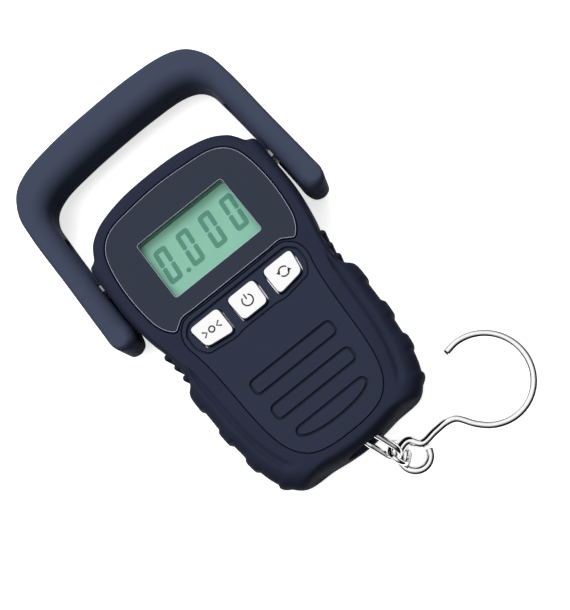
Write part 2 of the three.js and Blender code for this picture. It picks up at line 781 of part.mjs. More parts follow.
// A pan head screw along -Z: its head sits on z = 0 and its shank points up or down by sign
function screw(length) {
  const body = turned([
    [0, -screwHeadHeight], [screwHeadRadius * 0.72, -screwHeadHeight],
    [screwHeadRadius, -screwHeadHeight * 0.55], [screwHeadRadius, 0],
    [screwRadius, 0], [screwRadius, length - screwRadius], [0, length],
  ], boreSides).rotateX(Math.PI / 2);
  const arm = screwHeadRadius * 0.62;
  const low = -screwHeadHeight - overrun;
  const floor = -screwHeadHeight * 0.4;
  return cut(
    body,
    block(-arm, arm, -screwCross / 2, screwCross / 2, low, floor),
    block(-screwCross / 2, screwCross / 2, -arm, arm, low, floor),
  );
}

// Housing, its inlays and its screws
place(group, 'front_housing', frontHousing(), shellFinish);
place(group, 'rear_housing', rearHousing(), shellFinish);
place(group, 'display_window', displayWindow(), windowFinish, 0, 0, inlayFloor);
place(group, 'front_panel', frontPanel(), panelFinish);
buttonLoops.forEach(([name, loop]) => place(group, name, button(loop), chromeFinish));
place(group, 'keypad', keypad(), rubberFinish);
housingScrews.forEach(([x, y], i) => {
  place(group, `housing_screw_${i + 1}`, screw(housingScrewLength), steelFinish,
    x, y, housingHeadSeat - seatGap);
});

// Display stack and circuit board
place(group, 'circuit_board', circuitBoard(), boardFinish, 0, 0, boardUnderside);
place(group, 'lcd_glass', new THREE.BoxGeometry(
  2 * (displayHalfWidth + glassMargin), 2 * (displayHalfHeight + glassMargin), glassThickness,
), glassFinish, 0, displayCentre, (glassTop + glassBottom) / 2);
const stackMiddle = (glassBottom + boardFace) / 2;
const lightBottom = displayCentre - displayHalfHeight - glassMargin + connectorWidth + 2 * seatGap;
const lightTop = displayCentre + displayHalfHeight + glassMargin;
place(group, 'backlight', new THREE.BoxGeometry(
  2 * (displayHalfWidth + glassMargin), lightTop - lightBottom, lightThickness,
), lightFinish, 0, (lightTop + lightBottom) / 2, stackMiddle);
place(group, 'display_connector', new THREE.BoxGeometry(
  2 * displayHalfWidth, connectorWidth, lightThickness,
), epoxyFinish, 0, lightBottom - seatGap - connectorWidth / 2, stackMiddle);

const chipRadius = 4.5;
const chipHeight = 1.4;
function chip() {
  return turned([
    [0, 0], [chipRadius, 0], [chipRadius * 0.8, chipHeight * 0.7], [chipRadius * 0.4, chipHeight],
    [0, chipHeight],
  ]).rotateX(-Math.PI / 2);
}
place(group, 'controller_chip', chip(), epoxyFinish,
  0, boardBottom + chipRadius * 1.6, boardUnderside - glueGap);
[-1, 1].forEach((side) => boardPostY.forEach((y, i) => {
  const name = `board_screw_${side < 0 ? 'left' : 'right'}_${i + 1}`;
  place(group, name, screw(boardScrewLength), steelFinish, side * boardPostX, y, boardUnderside - seatGap);
}));

// Battery bay
function cell() {
  const half = cellLength / 2;
  return turned([
    [0, -half], [cellRadius * 0.9, -half], [cellRadius, -half + cellRadius * 0.1],
    [cellRadius, half - cellNubLength - cellRadius * 0.1], [cellRadius * 0.9, half - cellNubLength],
    [cellNubRadius, half - cellNubLength], [cellNubRadius, half], [0, half],
  ]).rotateZ(-Math.PI / 2);
}

class ConeSpring extends THREE.Curve {
  getPoint(t, target = new THREE.Vector3()) {
    const angle = t * springTurns * 2 * Math.PI;
    const radius = THREE.MathUtils.lerp(cellRadius * 0.72, cellRadius * 0.34, t);
    const rise = springWire / 2 + t * (springLength - springWire);
    return target.set(rise, radius * Math.cos(angle), radius * Math.sin(angle));
  }
}

function ringSection(radius, sides) {
  const points = Array.from({ length: sides }, (_, i) => {
    const angle = (i / sides) * 2 * Math.PI;
    return new THREE.Vector2(radius * Math.cos(angle), radius * Math.sin(angle));
  });
  return new THREE.Shape(points);
}

function alongPath(path, section, steps) {
  return new THREE.ExtrudeGeometry(section, {
    steps, extrudePath: path, bevelEnabled: false, curveSegments: 1,
  });
}

function coneSpring() {
  return alongPath(new ConeSpring(), ringSection(springWire / 2, springSides), springTurns * springSteps);
}

const contactHalf = cellPitch * 0.42;

function contactPlate(offsets, rise) {
  const low = coverThickness + 2 * seatGap;
  const y0 = Math.min(...offsets) - contactHalf;
  const y1 = Math.max(...offsets) + contactHalf;
  return block(0, contactThickness, y0, y1, low, rise);
}

const upperCell = cellPitch / 2;
const bayEnd = bayHalfWidth - seatGap;
const contactTop = bayRoof - seatGap;
const springContact = join(
  contactPlate([upperCell], contactTop),
  moved(coneSpring(), contactThickness - springWire / 4, upperCell, cellHeight),
);
place(group, 'contact_negative', springContact, steelFinish, -bayEnd, bayCentre, 0);
const plainContact = contactPlate([-upperCell], contactTop);
place(group, 'contact_positive', plainContact, steelFinish, -bayEnd, bayCentre, 0);
const bridgeSpring = coneSpring().rotateZ(Math.PI);
const bridge = join(
  contactPlate([-upperCell, upperCell], contactTop),
  moved(bridgeSpring, springWire / 4, -upperCell, cellHeight),
);
place(group, 'contact_bridge', bridge, steelFinish, bayEnd - contactThickness, bayCentre, 0);
const nubSide = bayEnd - contactThickness - seatGap - cellLength / 2;
place(group, 'battery_upper', cell(), cellFinish, nubSide, bayCentre + upperCell, cellHeight);
place(group, 'battery_lower', cell().rotateZ(Math.PI), cellFinish,
  -nubSide, bayCentre - upperCell, cellHeight);

const coverHinge = bayCentre - bayHalfHeight;

function batteryCover() {
  const plate = prism(rectangleLoop(bayHalfWidth, 0, 2 * bayHalfHeight, seatGap), 0, coverThickness);
  const tabs = [-1, 1].map((side) => {
    const middle = side * bayHalfWidth / 2;
    return block(
      middle - coverTabWidth / 2, middle + coverTabWidth / 2, -coverTab + seatGap, coverTab,
      coverThickness - seatGap / 2 + seatGap, coverThickness + coverTab * 0.6);
  });
  const tabRoots = [-1, 1].map((side) => {
    const middle = side * bayHalfWidth / 2;
    return block(
      middle - coverTabWidth / 2, middle + coverTabWidth / 2, coverTab * 0.3, coverTab,
      coverThickness / 2, coverThickness + coverTab * 0.6);
  });
  const latchHalf = bayHalfHeight * 0.45;
  const slits = [-1, 1].map((side) => block(
    side * latchHalf - seatGap, side * latchHalf + seatGap,
    2 * bayHalfHeight - latchHalf, 2 * bayHalfHeight + overrun, -overrun, coverThickness + overrun));
  const thumb = block(
    -latchHalf * 0.7, latchHalf * 0.7, 2 * bayHalfHeight - latchHalf * 0.8,
    2 * bayHalfHeight - latchHalf * 0.3, -overrun, coverThickness * 0.45);
  return cut(join(plate, ...tabs, ...tabRoots), ...slits, thumb);
}
place(group, 'battery_cover', batteryCover(), shellFinish, 0, coverHinge, 0);

// The hole that the eye bolt's shank runs in, along Y
function boltHole(length) {
  const radius = eyeWire / 2 + seatGap;
  return new THREE.CylinderGeometry(radius, radius, length, boreSides);
}

// Load cell: a drilled beam across the body, bent by the eye bolt in its middle
function loadBeam() {
  const bar = new THREE.BoxGeometry(2 * beamHalfLength, beamWidth, beamDepth);
  const holes = [-1, 1].map((side) => column(
    screwRadius + seatGap, -beamDepth, beamDepth, side * beamScrewX, 0, boreSides));
  const bores = [-1, 1].map((side) => column(
    beamBoreRadius, -beamDepth, beamDepth, side * beamBoreSpacing, 0, roundSides));
  return cut(bar, ...holes, ...bores, boltHole(beamWidth + overrun));
}
place(group, 'load_beam', loadBeam(), aluminiumFinish, 0, beamCentre, beamMiddle);
[-1, 1].forEach((side) => {
  const name = `beam_screw_${side < 0 ? 'left' : 'right'}`;
  const mesh = place(group, name, screw(beamScrewLength), steelFinish,
    side * beamScrewX, beamCentre, beamUnderside + beamDepth + seatGap);
  mesh.rotation.x = Math.PI;
});

const gaugeLength = 7;
const gaugeWidth = 5;
const gaugeThickness = 0.8;
[['strain_gauge_left', -1], ['strain_gauge_right', 1]].forEach(([name, side]) => {
  const pad = new THREE.BoxGeometry(gaugeLength, gaugeThickness, gaugeWidth);
  place(group, name, pad, rubberFinish,
    side * beamBoreSpacing, beamCentre + beamWidth / 2 + glueGap + gaugeThickness / 2, beamMiddle);
});

function eyeBolt() {
  const ring = new THREE.TorusGeometry(eyeRingRadius, eyeWire / 2, boreSides, roundSides);
  const shankTop = beamCentre + beamWidth / 2 + nutHeight + 2 * seatGap - eyeRingCentre;
  const shankBottom = eyeRingRadius;
  const shank = new THREE.CylinderGeometry(eyeWire / 2, eyeWire / 2, shankTop - shankBottom, boreSides);
  return join(ring, shank.translate(0, (shankTop + shankBottom) / 2, 0));
}
place(group, 'load_eye', eyeBolt(), steelFinish, 0, eyeRingCentre, beamMiddle);

function nut() {
  const body = new THREE.CylinderGeometry(nutRadius, nutRadius, nutHeight, 6);
  return cut(body, boltHole(nutHeight + overrun));
}
place(group, 'load_nut', nut(), steelFinish,
  0, beamCentre + beamWidth / 2 + seatGap + nutHeight / 2, beamMiddle);

// Chain: two welded oval links, each turned to the next
class OvalLoop extends THREE.Curve {
  constructor(straight, radius) {
    super();
    this.straight = straight;
    this.radius = radius;
  }

  getPoint(t, target = new THREE.Vector3()) {
    const arc = Math.PI * this.radius;
    const total = 2 * (arc + this.straight);
    const along = (t % 1) * total;
    const half = Math.floor(along / (total / 2));
    const rest = along - half * (total / 2);
    const sign = half === 0 ? 1 : -1;
    if (rest < this.straight) {
      return target.set(sign * this.radius, sign * (rest - this.straight / 2), 0);
    }
    const angle = (rest - this.straight) / this.radius;
    return target.set(
      sign * this.radius * Math.cos(angle), sign * (this.straight / 2 + this.radius * Math.sin(angle)), 0);
  }
}

function ovalLink(innerLength, innerWidth, wire) {
  const radius = (innerWidth + wire) / 2;
  const curve = new OvalLoop(innerLength + wire - 2 * radius, radius);
  return mergeVertices(stripped(new THREE.TubeGeometry(curve, linkSteps, wire / 2, boreSides, true)), 1e-4);
}

function stripped(geometry) {
  geometry.deleteAttribute('normal');
  geometry.deleteAttribute('uv');
  return geometry;
}

// Places a link with its long axis along one direction and its face towards another
function placeLink(name, geometry, centre, along, faceHint) {
  const mesh = place(group, name, geometry, chromeFinish, centre.x, centre.y, centre.z);
  const y = along.clone().normalize();
  const z = faceHint.clone().sub(y.clone().multiplyScalar(faceHint.dot(y))).normalize();
  const x = y.clone().cross(z);
  mesh.quaternion.setFromRotationMatrix(new THREE.Matrix4().makeBasis(x, y, z));
  return mesh;
}

const eyeTurn = THREE.MathUtils.degToRad(eyeAngle);
const upperSeat = new THREE.Vector3(
  eyeRingRadius * Math.cos(eyeTurn), eyeRingCentre + eyeRingRadius * Math.sin(eyeTurn), beamMiddle);
const hookEye = new THREE.Vector3(hookEyeX, hookEyeY, hookEyeHeight);
const hookContactAngle = THREE.MathUtils.degToRad(hookContact);
const hookSeat = hookEye.clone().add(new THREE.Vector3(
  hookEyeRadius * Math.cos(hookContactAngle), hookEyeRadius * Math.sin(hookContactAngle), 0));
const linkMeeting = new THREE.Vector3(linkMeetingX, linkMeetingY, linkMeetingHeight);

const upperAlong = linkMeeting.clone().sub(upperSeat);
const upperInnerLength = upperAlong.length() + eyeWire / 2 - upperLinkWire / 2 + linkPlay;
const upperStart = upperSeat.clone().addScaledVector(upperAlong.clone().normalize(), -eyeWire / 2 - linkPlay);
const upperCentre = upperStart.clone().addScaledVector(upperAlong.clone().normalize(), upperInnerLength / 2);
placeLink('upper_link', ovalLink(upperInnerLength, upperLinkInnerWidth, upperLinkWire),
  upperCentre, upperAlong, new THREE.Vector3(0.8, 0.1, -0.6));

const lowerAlong = hookSeat.clone().sub(linkMeeting);
const lowerCentre = linkMeeting.clone().lerp(hookSeat, 0.5);
placeLink('lower_link', ovalLink(lowerLinkInnerLength, lowerLinkInnerWidth, lowerLinkWire),
  lowerCentre, lowerAlong, upperAlong.clone().cross(lowerAlong));

// Hook: one bent wire, from the end of its eye round the bow to the tip
const neckShares = [[0.125, 0.0453], [0.29, 0.055], [0.435, 0.0579], [0.53, 0.0263]];

function hookCurve() {
  const eye = Array.from({ length: 11 }, (_, i) => {
    const angle = THREE.MathUtils.degToRad(THREE.MathUtils.lerp(...hookEyeAngles, i / 10));
    return new THREE.Vector3(hookEyeRadius * Math.cos(angle), hookEyeRadius * Math.sin(angle), 0);
  });
  const neck = neckShares.map(([x, y]) => new THREE.Vector3(x * hookBowX, y * hookBowX, 0));
  const bow = Array.from({ length: 14 }, (_, i) => {
    const angle = THREE.MathUtils.degToRad(THREE.MathUtils.lerp(...hookBowAngles, i / 13));
    return new THREE.Vector3(
      hookBowX + hookBowRadius * Math.cos(angle), hookBowY + hookBowRadius * Math.sin(angle), 0);
  });
  return new THREE.CatmullRomCurve3([...eye, ...neck, ...bow], false, 'centripetal');
}
const hookReach = hookBowX + hookBowRadius;
const hookWireBody = alongPath(hookCurve(), ringSection(hookWire / 2, boreSides), hookSteps);
const hook = place(group, 'hook', hookWireBody, chromeFinish, hookEye.x, hookEye.y, hookEye.z);
hook.rotation.y = Math.asin((hookEyeHeight - hookWire / 2) / hookReach);

// Handle: two shells screwed together, which slide and swing on the pins
const handle = new THREE.Group();
handle.position.set(0, handlePinHeight, partingHeight);
handle.rotation.z = THREE.MathUtils.degToRad(handleCock);
group.add(handle);

// Outline of the handle, from the top of the grip down the outside, round the foot and back up
// inside: the grip's bends in shares of its half width and of the handle's height, the foot's
// rounding in shares of the arm's width
const outsideShares = [
  [0, 0], [0.42, 0.008], [0.72, 0.038], [0.86, 0.085], [0.955, 0.18], [0.982, 0.3], [0.99, 0.6],
];
const outerFootShares = [[0, 1.18], [0.011, 0.454], [0.16, 0.127]];
const innerFootShares = [[0.5, 0], [0.14, 0.127], [0, 0.454], [0, 1.18]];
const insideShares = [[0.985, 0.2], [0.965, 0.11], [0.89, 0.055], [0.74, 0.022], [0.42, 0.005], [0, 0]];
const innerArmShare = 0.4;
const handleBend = 0.03;

function handleLoops() {
  const top = handleTop - handlePinHeight;
  const under = handleGripUnderside - handlePinHeight;
  const foot = handleFoot - handlePinHeight;
  const outer = handleOuterHalfWidth;
  const inner = handleInnerHalfWidth;
  const rise = top - foot;
  const outside = [
    ...outsideShares.map(([x, y]) => [x * outer, top - y * rise]),
    ...outerFootShares.map(([x, y]) => [outer - x * handleArmWidth, foot + y * handleArmWidth]),
  ];
  const inside = [
    ...innerFootShares.map(([x, y]) => [inner + x * handleArmWidth, foot + y * handleArmWidth]),
    [inner, foot + innerArmShare * rise],
    ...insideShares.map(([x, y]) => [x * inner, under - y * rise]),
  ];
  return { outside, inside };
}

function handleOutline(steps) {
  const { outside, inside } = handleLoops();
  const right = [...outside, ...inside].map(([x, y]) => new THREE.Vector3(x, y, 0));
  const left = right.slice(1, -1).reverse().map((p) => new THREE.Vector3(-p.x, p.y, 0));
  const curve = new THREE.CatmullRomCurve3([...right, ...left], true, 'centripetal');
  const count = steps * curve.points.length;
  const loop = curve.getPoints(count).slice(0, -1).map((p) => new THREE.Vector2(p.x, p.y));
  const outerCount = outside.length * steps;
  const isInner = loop.map((_, i) => i >= outerCount && i <= count - outerCount);
  const bends = loop.map((_, i) => offLine(loop, i) > handleBend);
  return {
    loop: loop.filter((_, i) => bends[i]).reverse(),
    isInner: isInner.filter((_, i) => bends[i]).reverse(),
  };
}

const roundShares = [[0, 0], [0.5, 0.13], [0.87, 0.5], [1, 1]];

function handleHalf(sign) {
  const { loop, isInner } = handleOutline(2);
  const flat = sign * handleDepth / 2;
  const start = sign * partingGap / 2;
  const rings = [{ loop, height: start }];
  roundShares.forEach(([rise, draw]) => {
    const distances = isInner.map((inner) => (inner ? handleInnerRound : handleOuterRound) * draw);
    const height = flat - sign * handleInnerRound * (1 - rise);
    rings.push({ loop: inset(loop, distances), height });
  });
  return loft(sign > 0 ? rings : rings.reverse());
}

// Channels inside the arms that the pins run in
function pinSlots() {
  const half = slotWidth / 2;
  const low = slotBottom - handlePinHeight + half;
  const high = slotTop - handlePinHeight - half;
  const shape = new THREE.Shape();
  shape.absarc(high, 0, half, -Math.PI / 2, Math.PI / 2, false);
  shape.absarc(low, 0, half, Math.PI / 2, 1.5 * Math.PI, false);
  const channel = new THREE.ExtrudeGeometry(shape, {
    depth: 2 * (handleInnerHalfWidth + slotDepth), bevelEnabled: false, curveSegments: boreSides / 2,
  });
  channel.translate(0, 0, -handleInnerHalfWidth - slotDepth);
  channel.rotateY(Math.PI / 2).rotateX(Math.PI / 2);
  return channel;
}

function handleShell(sign) {
  const screwTip = handleScrewLength + handleHeadSeat - handleDepth / 2;
  const headSeat = -handleDepth / 2 + handleHeadSeat;
  const shanks = handleScrews.map(([x, y]) => screwPost(
    x, y - handlePinHeight, sign > 0 ? -overrun : -handleDepth,
    sign > 0 ? screwTip + seatGap : overrun, screwRadius + seatGap));
  const heads = sign > 0 ? [] : handleScrews.map(([x, y]) => screwPost(
    x, y - handlePinHeight, -handleDepth, headSeat, screwHeadRadius + seatGap));
  return cut(handleHalf(sign), pinSlots(), ...shanks, ...heads);
}
place(handle, 'handle_front_shell', handleShell(1), handleFinish);
place(handle, 'handle_rear_shell', handleShell(-1), handleFinish);
handleScrews.forEach(([x, y], i) => {
  place(handle, `handle_screw_${i + 1}`, screw(handleScrewLength - seatGap), steelFinish,
    x, y - handlePinHeight, -handleDepth / 2 + handleHeadSeat - seatGap);
});

// Pins: a collar behind the body's wall, a journal through it and a stud in the handle's slot
function handlePin() {
  const wallInside = bodyHalfWidth - wall;
  const collarEnd = wallInside - slideGap;
  const journalEnd = bodyHalfWidth + (handleInnerHalfWidth - bodyHalfWidth) / 2;
  const tip = handleInnerHalfWidth + pinStudReach;
  return turned([
    [0, collarEnd - pinCollarLength], [pinCollarRadius, collarEnd - pinCollarLength],
    [pinCollarRadius, collarEnd], [pinJournalRadius, collarEnd], [pinJournalRadius, journalEnd],
    [pinStudRadius, journalEnd], [pinStudRadius, tip - seatGap], [pinStudRadius - seatGap, tip],
    [0, tip],
  ]).rotateZ(-Math.PI / 2);
}
place(group, 'handle_pin_right', handlePin(), steelFinish, 0, handlePinHeight, partingHeight);
place(group, 'handle_pin_left', handlePin().rotateZ(Math.PI), steelFinish, 0, handlePinHeight, partingHeight);

export default group;
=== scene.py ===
import bmesh
import bpy
import numpy as np
from mathutils import Matrix, Vector
from mathutils.geometry import tessellate_polygon


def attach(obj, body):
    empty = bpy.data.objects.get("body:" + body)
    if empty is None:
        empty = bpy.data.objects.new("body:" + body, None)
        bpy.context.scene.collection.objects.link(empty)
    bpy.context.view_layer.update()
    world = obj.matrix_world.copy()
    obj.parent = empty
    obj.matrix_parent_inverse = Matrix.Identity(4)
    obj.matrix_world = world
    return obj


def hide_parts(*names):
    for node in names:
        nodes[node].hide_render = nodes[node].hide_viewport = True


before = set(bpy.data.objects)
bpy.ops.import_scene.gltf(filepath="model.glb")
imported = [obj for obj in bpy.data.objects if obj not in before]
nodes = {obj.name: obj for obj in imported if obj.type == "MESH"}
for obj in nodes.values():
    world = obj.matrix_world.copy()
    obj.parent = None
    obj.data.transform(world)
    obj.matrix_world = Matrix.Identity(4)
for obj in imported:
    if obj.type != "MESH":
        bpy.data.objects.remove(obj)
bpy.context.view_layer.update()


# Camera: a hand camera held 0.3 m over the table, leaning towards the hook and turned on its
# own axis, so that the scale lies across the picture from the top left to the bottom right.
eye = Vector((8.42, -91.56, 304.75)) / 1000
lean = np.radians(16.36)
turn = np.radians(-38.81)
focal_pixels = 897
picture_height = 610


def new_object(name, data):
    """An object of its own in the scene."""
    thing = bpy.data.objects.new(name, data)
    bpy.context.scene.collection.objects.link(thing)
    return thing


camera_data = bpy.data.cameras.new("camera")
camera_data.sensor_width = 36
camera_data.lens = focal_pixels * camera_data.sensor_width / picture_height
camera_data.clip_start = 0.01
camera = new_object("camera", camera_data)
camera.matrix_world = (
    Matrix.Translation(eye) @ Matrix.Rotation(lean, 4, "X") @ Matrix.Rotation(turn, 4, "Z")
)
bpy.context.scene.camera = camera
bpy.context.scene.view_settings.view_transform = "Standard"


# Studio: two soft boxes over the table, the larger one behind the handle, and a pale ceiling that
# leans towards the handle and darkens to the horizon, which draws the dark edges on the wire.
ceiling_way = (-0.12, 0.42, 0.90)
dark_below, white_above, darkest = 0.38, 0.92, 0.01


def add_node(tree, kind, inputs=None, **settings):
    """A new node with its settings, and each input set to a value or linked from a socket."""
    node = tree.nodes.new(kind)
    for key, value in settings.items():
        setattr(node, key, value)
    for name, value in (inputs or {}).items():
        if isinstance(value, bpy.types.NodeSocket):
            tree.links.new(value, node.inputs[name])
        else:
            node.inputs[name].default_value = value
    return node


def colour(code, alpha=1):
    """Linear light of an sRGB hex colour: c / 12.92 for dark levels, and ((c + 0.055) / 1.055)
    to the power of 2.4 for all others."""
    level = np.array([int(code[i:i + 2], 16) for i in (1, 3, 5)]) / 255
    linear = np.where(level <= 0.04045, level / 12.92, ((level + 0.055) / 1.055) ** 2.4)
    return (*linear, alpha)


def soft_box(name, place, size, watts):
    """A flat lamp that faces the scale and stays out of its mirroring surfaces."""
    lamp = bpy.data.lights.new(name, "AREA")
    lamp.shape = "RECTANGLE"
    lamp.size, lamp.size_y = size
    lamp.energy = watts
    holder = new_object(name, lamp)
    holder.location = place
    holder.visible_glossy = False
    holder.rotation_euler = (-Vector(place)).to_track_quat("-Z", "Y").to_euler()


soft_box("box_behind_handle", place=(0.10, 0.55, 0.75), size=(0.7, 0.5), watts=4.2)
soft_box("box_overhead", place=(-0.30, -0.10, 0.85), size=(0.5, 0.5), watts=2.2)

world = bpy.data.worlds.new("studio")
bpy.context.scene.world = world
world.use_nodes = True
room = world.node_tree
room.nodes.clear()
ray = add_node(room, "ShaderNodeLightPath")
direction = add_node(room, "ShaderNodeTexCoord").outputs["Generated"]
height = add_node(room, "ShaderNodeVectorMath", {
    0: direction, 1: ceiling_way}, operation="DOT_PRODUCT").outputs["Value"]
walls = add_node(room, "ShaderNodeMapRange", {
    "Value": height, "From Min": dark_below, "From Max": white_above, "To Min": darkest,
}, interpolation_type="SMOOTHSTEP")
level = add_node(room, "ShaderNodeMix", {
    0: ray.outputs["Is Camera Ray"], 2: walls.outputs[0], 3: 1.0,
}, data_type="FLOAT")
background = add_node(room, "ShaderNodeBackground", {"Color": level.outputs[0]})
add_node(room, "ShaderNodeOutputWorld", {"Surface": background.outputs[0]})


# Table: a plain white sheet that the scale lies on. Seen straight or in a reflection it is
# white and keeps the shadow; it throws back less light, so the body's sides stay dark.
table_half, table_drop = 1.5, 0.0002
table_white = colour("#ffffff")
table_bounce = colour("#1a1c24")
table_glow = 0.68


def empty_material(name):
    """A material without nodes, and its node tree."""
    material = bpy.data.materials.new(name)
    material.use_nodes = True
    material.node_tree.nodes.clear()
    return material, material.node_tree


def blend(tree, share, first, second):
    """A colour that goes from the first to the second with the share."""
    return add_node(tree, "ShaderNodeMix", {
        0: share, 6: first, 7: second}, data_type="RGBA").outputs[2]


table_mesh = bpy.data.meshes.new("table")
table_mesh.from_pydata(
    [(x * table_half, y * table_half, -table_drop)
     for x, y in ((-1, -1), (1, -1), (1, 1), (-1, 1))],
    [], [(0, 1, 2, 3)])
table = new_object("table", table_mesh)
sheet, tree = empty_material("white paper sheet")
ray = add_node(tree, "ShaderNodeLightPath")
seen = add_node(tree, "ShaderNodeMath", {
    0: ray.outputs["Is Camera Ray"], 1: ray.outputs["Is Glossy Ray"]}, operation="MAXIMUM")
seen = add_node(tree, "ShaderNodeMath", {
    0: seen.outputs[0], 1: ray.outputs["Is Transmission Ray"]}, operation="MAXIMUM")
tint = blend(tree, seen.outputs[0], table_bounce, table_white)
matt = add_node(tree, "ShaderNodeBsdfDiffuse", {"Color": tint})
glow = add_node(tree, "ShaderNodeEmission", {"Color": tint, "Strength": table_glow})
both = add_node(tree, "ShaderNodeAddShader", {0: matt.outputs[0], 1: glow.outputs[0]})
add_node(tree, "ShaderNodeOutputMaterial", {"Surface": both.outputs[0]})
table_mesh.materials.append(sheet)


# Front housing: the upper half of the body, moulded in ABS with a fine spark-eroded skin. Its
# girth carries four finger lumps and three small ribs a side, a soft valley runs beside the
# panel, and its face is let in for the window and the panel. Four screws from the back hold it.
half_width, half_length, depth = 37.1, 60.3, 27.0
parting, parting_gap, seat_gap, slide_gap = 13.5, 0.3, 0.3, 0.35
wall, ceiling, inlay_seat, inlay_floor = 2.2, 23.4, 25.1, 25.4
board_underside, board_thickness = 15.5, 1.6
corner_sharpness = 2.5

girth_shares = [
    (0, 1), (0.337, 0.99), (0.593, 0.957), (0.712, 0.927), (0.83, 0.874), (0.876, 0.834),
    (0.922, 0.787), (0.988, 0.772), (1, 0.742), (1, 0.55), (0.99, 0.365), (0.94, 0.168),
    (0.905, 0.09), (0.876, 0), (0.868, -0.07), (0.871, -0.138), (0.905, -0.17), (0.93, -0.2),
    (0.932, -0.28), (0.925, -0.4), (0.915, -0.5), (0.89, -0.62), (0.862, -0.74), (0.815, -0.84),
    (0.742, -0.92), (0.636, -0.975), (0.46, -0.968), (0.22, -0.99), (0, -1),
]
face_shares = [
    (0, 0.897), (0.31, 0.888), (0.54, 0.858), (0.65, 0.83), (0.74, 0.785), (0.79, 0.74),
    (0.828, 0.69), (0.85, 0.63), (0.865, 0.56), (0.876, 0.45), (0.878, 0.33), (0.862, 0.18),
    (0.842, 0.1), (0.81, 0.01), (0.78, -0.07), (0.758, -0.138), (0.746, -0.18), (0.737, -0.22),
    (0.723, -0.3), (0.708, -0.41), (0.694, -0.51), (0.668, -0.62), (0.62, -0.73), (0.56, -0.82),
    (0.49, -0.88), (0.4, -0.913), (0.29, -0.93), (0.15, -0.94), (0, -0.944),
]
hollow_shares = [
    (0, 0.962), (0.38, 0.945), (0.65, 0.9), (0.79, 0.83), (0.87, 0.75), (0.93, 0.64),
    (0.936, 0.37), (0.88, 0.17), (0.81, 0), (0.805, -0.13), (0.845, -0.25), (0.845, -0.5),
    (0.81, -0.69), (0.71, -0.85), (0.54, -0.93), (0.27, -0.953), (0, -0.957),
]
hollow_taper_share = 0.06
lump_shares = [(-0.238, 0.062), (-0.498, 0.047), (-0.706, 0.042), (-0.9, 0.018)]
lump_relief, lump_blend_share = 1.0, 0.012
rib_shares, rib_radius, rib_reach = (0.052, -0.027, -0.107), 1.25, 8.0
valley_depth, valley_draw, valley_spread = 1.3, 0.78, 0.13
valley_top, valley_bottom, valley_fade = -0.10, -0.88, 0.10
screw_radius, screw_head_radius, head_seat = 1.45, 2.7, 5.0
boss_radius, head_boss_radius, board_post_radius = 3.2, 3.8, 2.3
housing_screws = [(21, 48.5), (-21, 48.5), (18.5, -49.5), (-18.5, -49.5)]
board_posts = [(x, y) for x in (-25.6, 25.6) for y in (41, -8)]
pin_height, journal_radius, collar_radius, collar_length = 39.5, 3.0, 4.4, 2.6
mouth_half_width, mouth_half_depth = 6.8, 7.0

# How far cutting bodies and joined bodies reach past what they meet.
bore_reach, beyond, overlap = 60, 3.0, 1.0


def curve_through(points, steps, closed=True):
    """A centripetal Catmull-Rom curve: between two points a cubic whose end slopes come from
    the chords on either side, each weighted by the square root of its length."""
    p = np.asarray(points, float)
    if closed:
        before, start, after, further = (np.roll(p, k, 0) for k in (1, 0, -1, -2))
    else:
        p = np.vstack([2 * p[0] - p[1], p, 2 * p[-1] - p[-2]])
        before, start, after, further = p[:-3], p[1:-2], p[2:-1], p[3:]
    d0, d1, d2 = (np.sqrt(np.linalg.norm(b - a, axis=1))[:, None]
                  for a, b in ((before, start), (start, after), (after, further)))
    leave = ((start - before) / d0 - (after - before) / (d0 + d1) + (after - start) / d1) * d1
    arrive = ((after - start) / d1 - (further - start) / (d1 + d2) + (further - after) / d2) * d1
    t = np.linspace(0, 1, steps, endpoint=False)[None, :, None]
    a, b, m, n = (v[:, None] for v in (start, after, leave, arrive))
    curve = ((2 * t**3 - 3 * t**2 + 1) * a + (t**3 - 2 * t**2 + t) * m
             + (3 * t**2 - 2 * t**3) * b + (t**3 - t**2) * n).reshape(-1, p.shape[1])
    return curve if closed else np.vstack([curve, p[-2]])


def mirrored_loop(shares, width, length, base=0, steps=10):
    """An anticlockwise loop through shares of a width and a length, mirrored on the middle line."""
    right = np.array(shares) * (width, length) + (0, base)
    left = right[-2:0:-1] * (-1, 1)
    return curve_through(np.vstack([right, left]), steps)[::-1]


def inset(loop, distance):
    """Each point moved inwards, square to the chord between its neighbours."""
    along = np.roll(loop, -1, 0) - np.roll(loop, 1, 0)
    along /= np.linalg.norm(along, axis=1)[:, None]
    return loop + np.stack([-along[:, 1], along[:, 0]], 1) * np.reshape(distance, (-1, 1))


def at_height(loop, z):
    """A flat loop lifted to a height."""
    return np.column_stack([loop, np.full(len(loop), float(z))])


def skin(rings):
    """Quads from each point of a ring to its neighbour and to the next ring's two points."""
    rings = np.asarray(rings)
    index = np.arange(rings.shape[0] * rings.shape[1]).reshape(rings.shape[:2])
    beside = np.roll(index, -1, 1)
    quads = np.stack([index[:-1], beside[:-1], beside[1:], index[1:]], -1).reshape(-1, 4)
    return rings.reshape(-1, 3), quads


def lid(ring, facing):
    """Triangles over a flat ring, turned to face up or down."""
    triangles = np.array(tessellate_polygon([[Vector((x, y, 0)) for x, y in ring[:, :2]]]))
    a, b, c = (ring[triangles[:, k], :2] for k in range(3))
    now = np.sum((b - a)[:, 0] * (c - a)[:, 1] - (b - a)[:, 1] * (c - a)[:, 0])
    return ring, triangles if now * facing > 0 else triangles[:, ::-1]


def solid(rings):
    """A closed body: the skin of its rings, from the lowest up, and a lid on either end."""
    rings = np.asarray(rings)
    return [skin(rings), lid(rings[0], -1), lid(rings[-1], 1)]


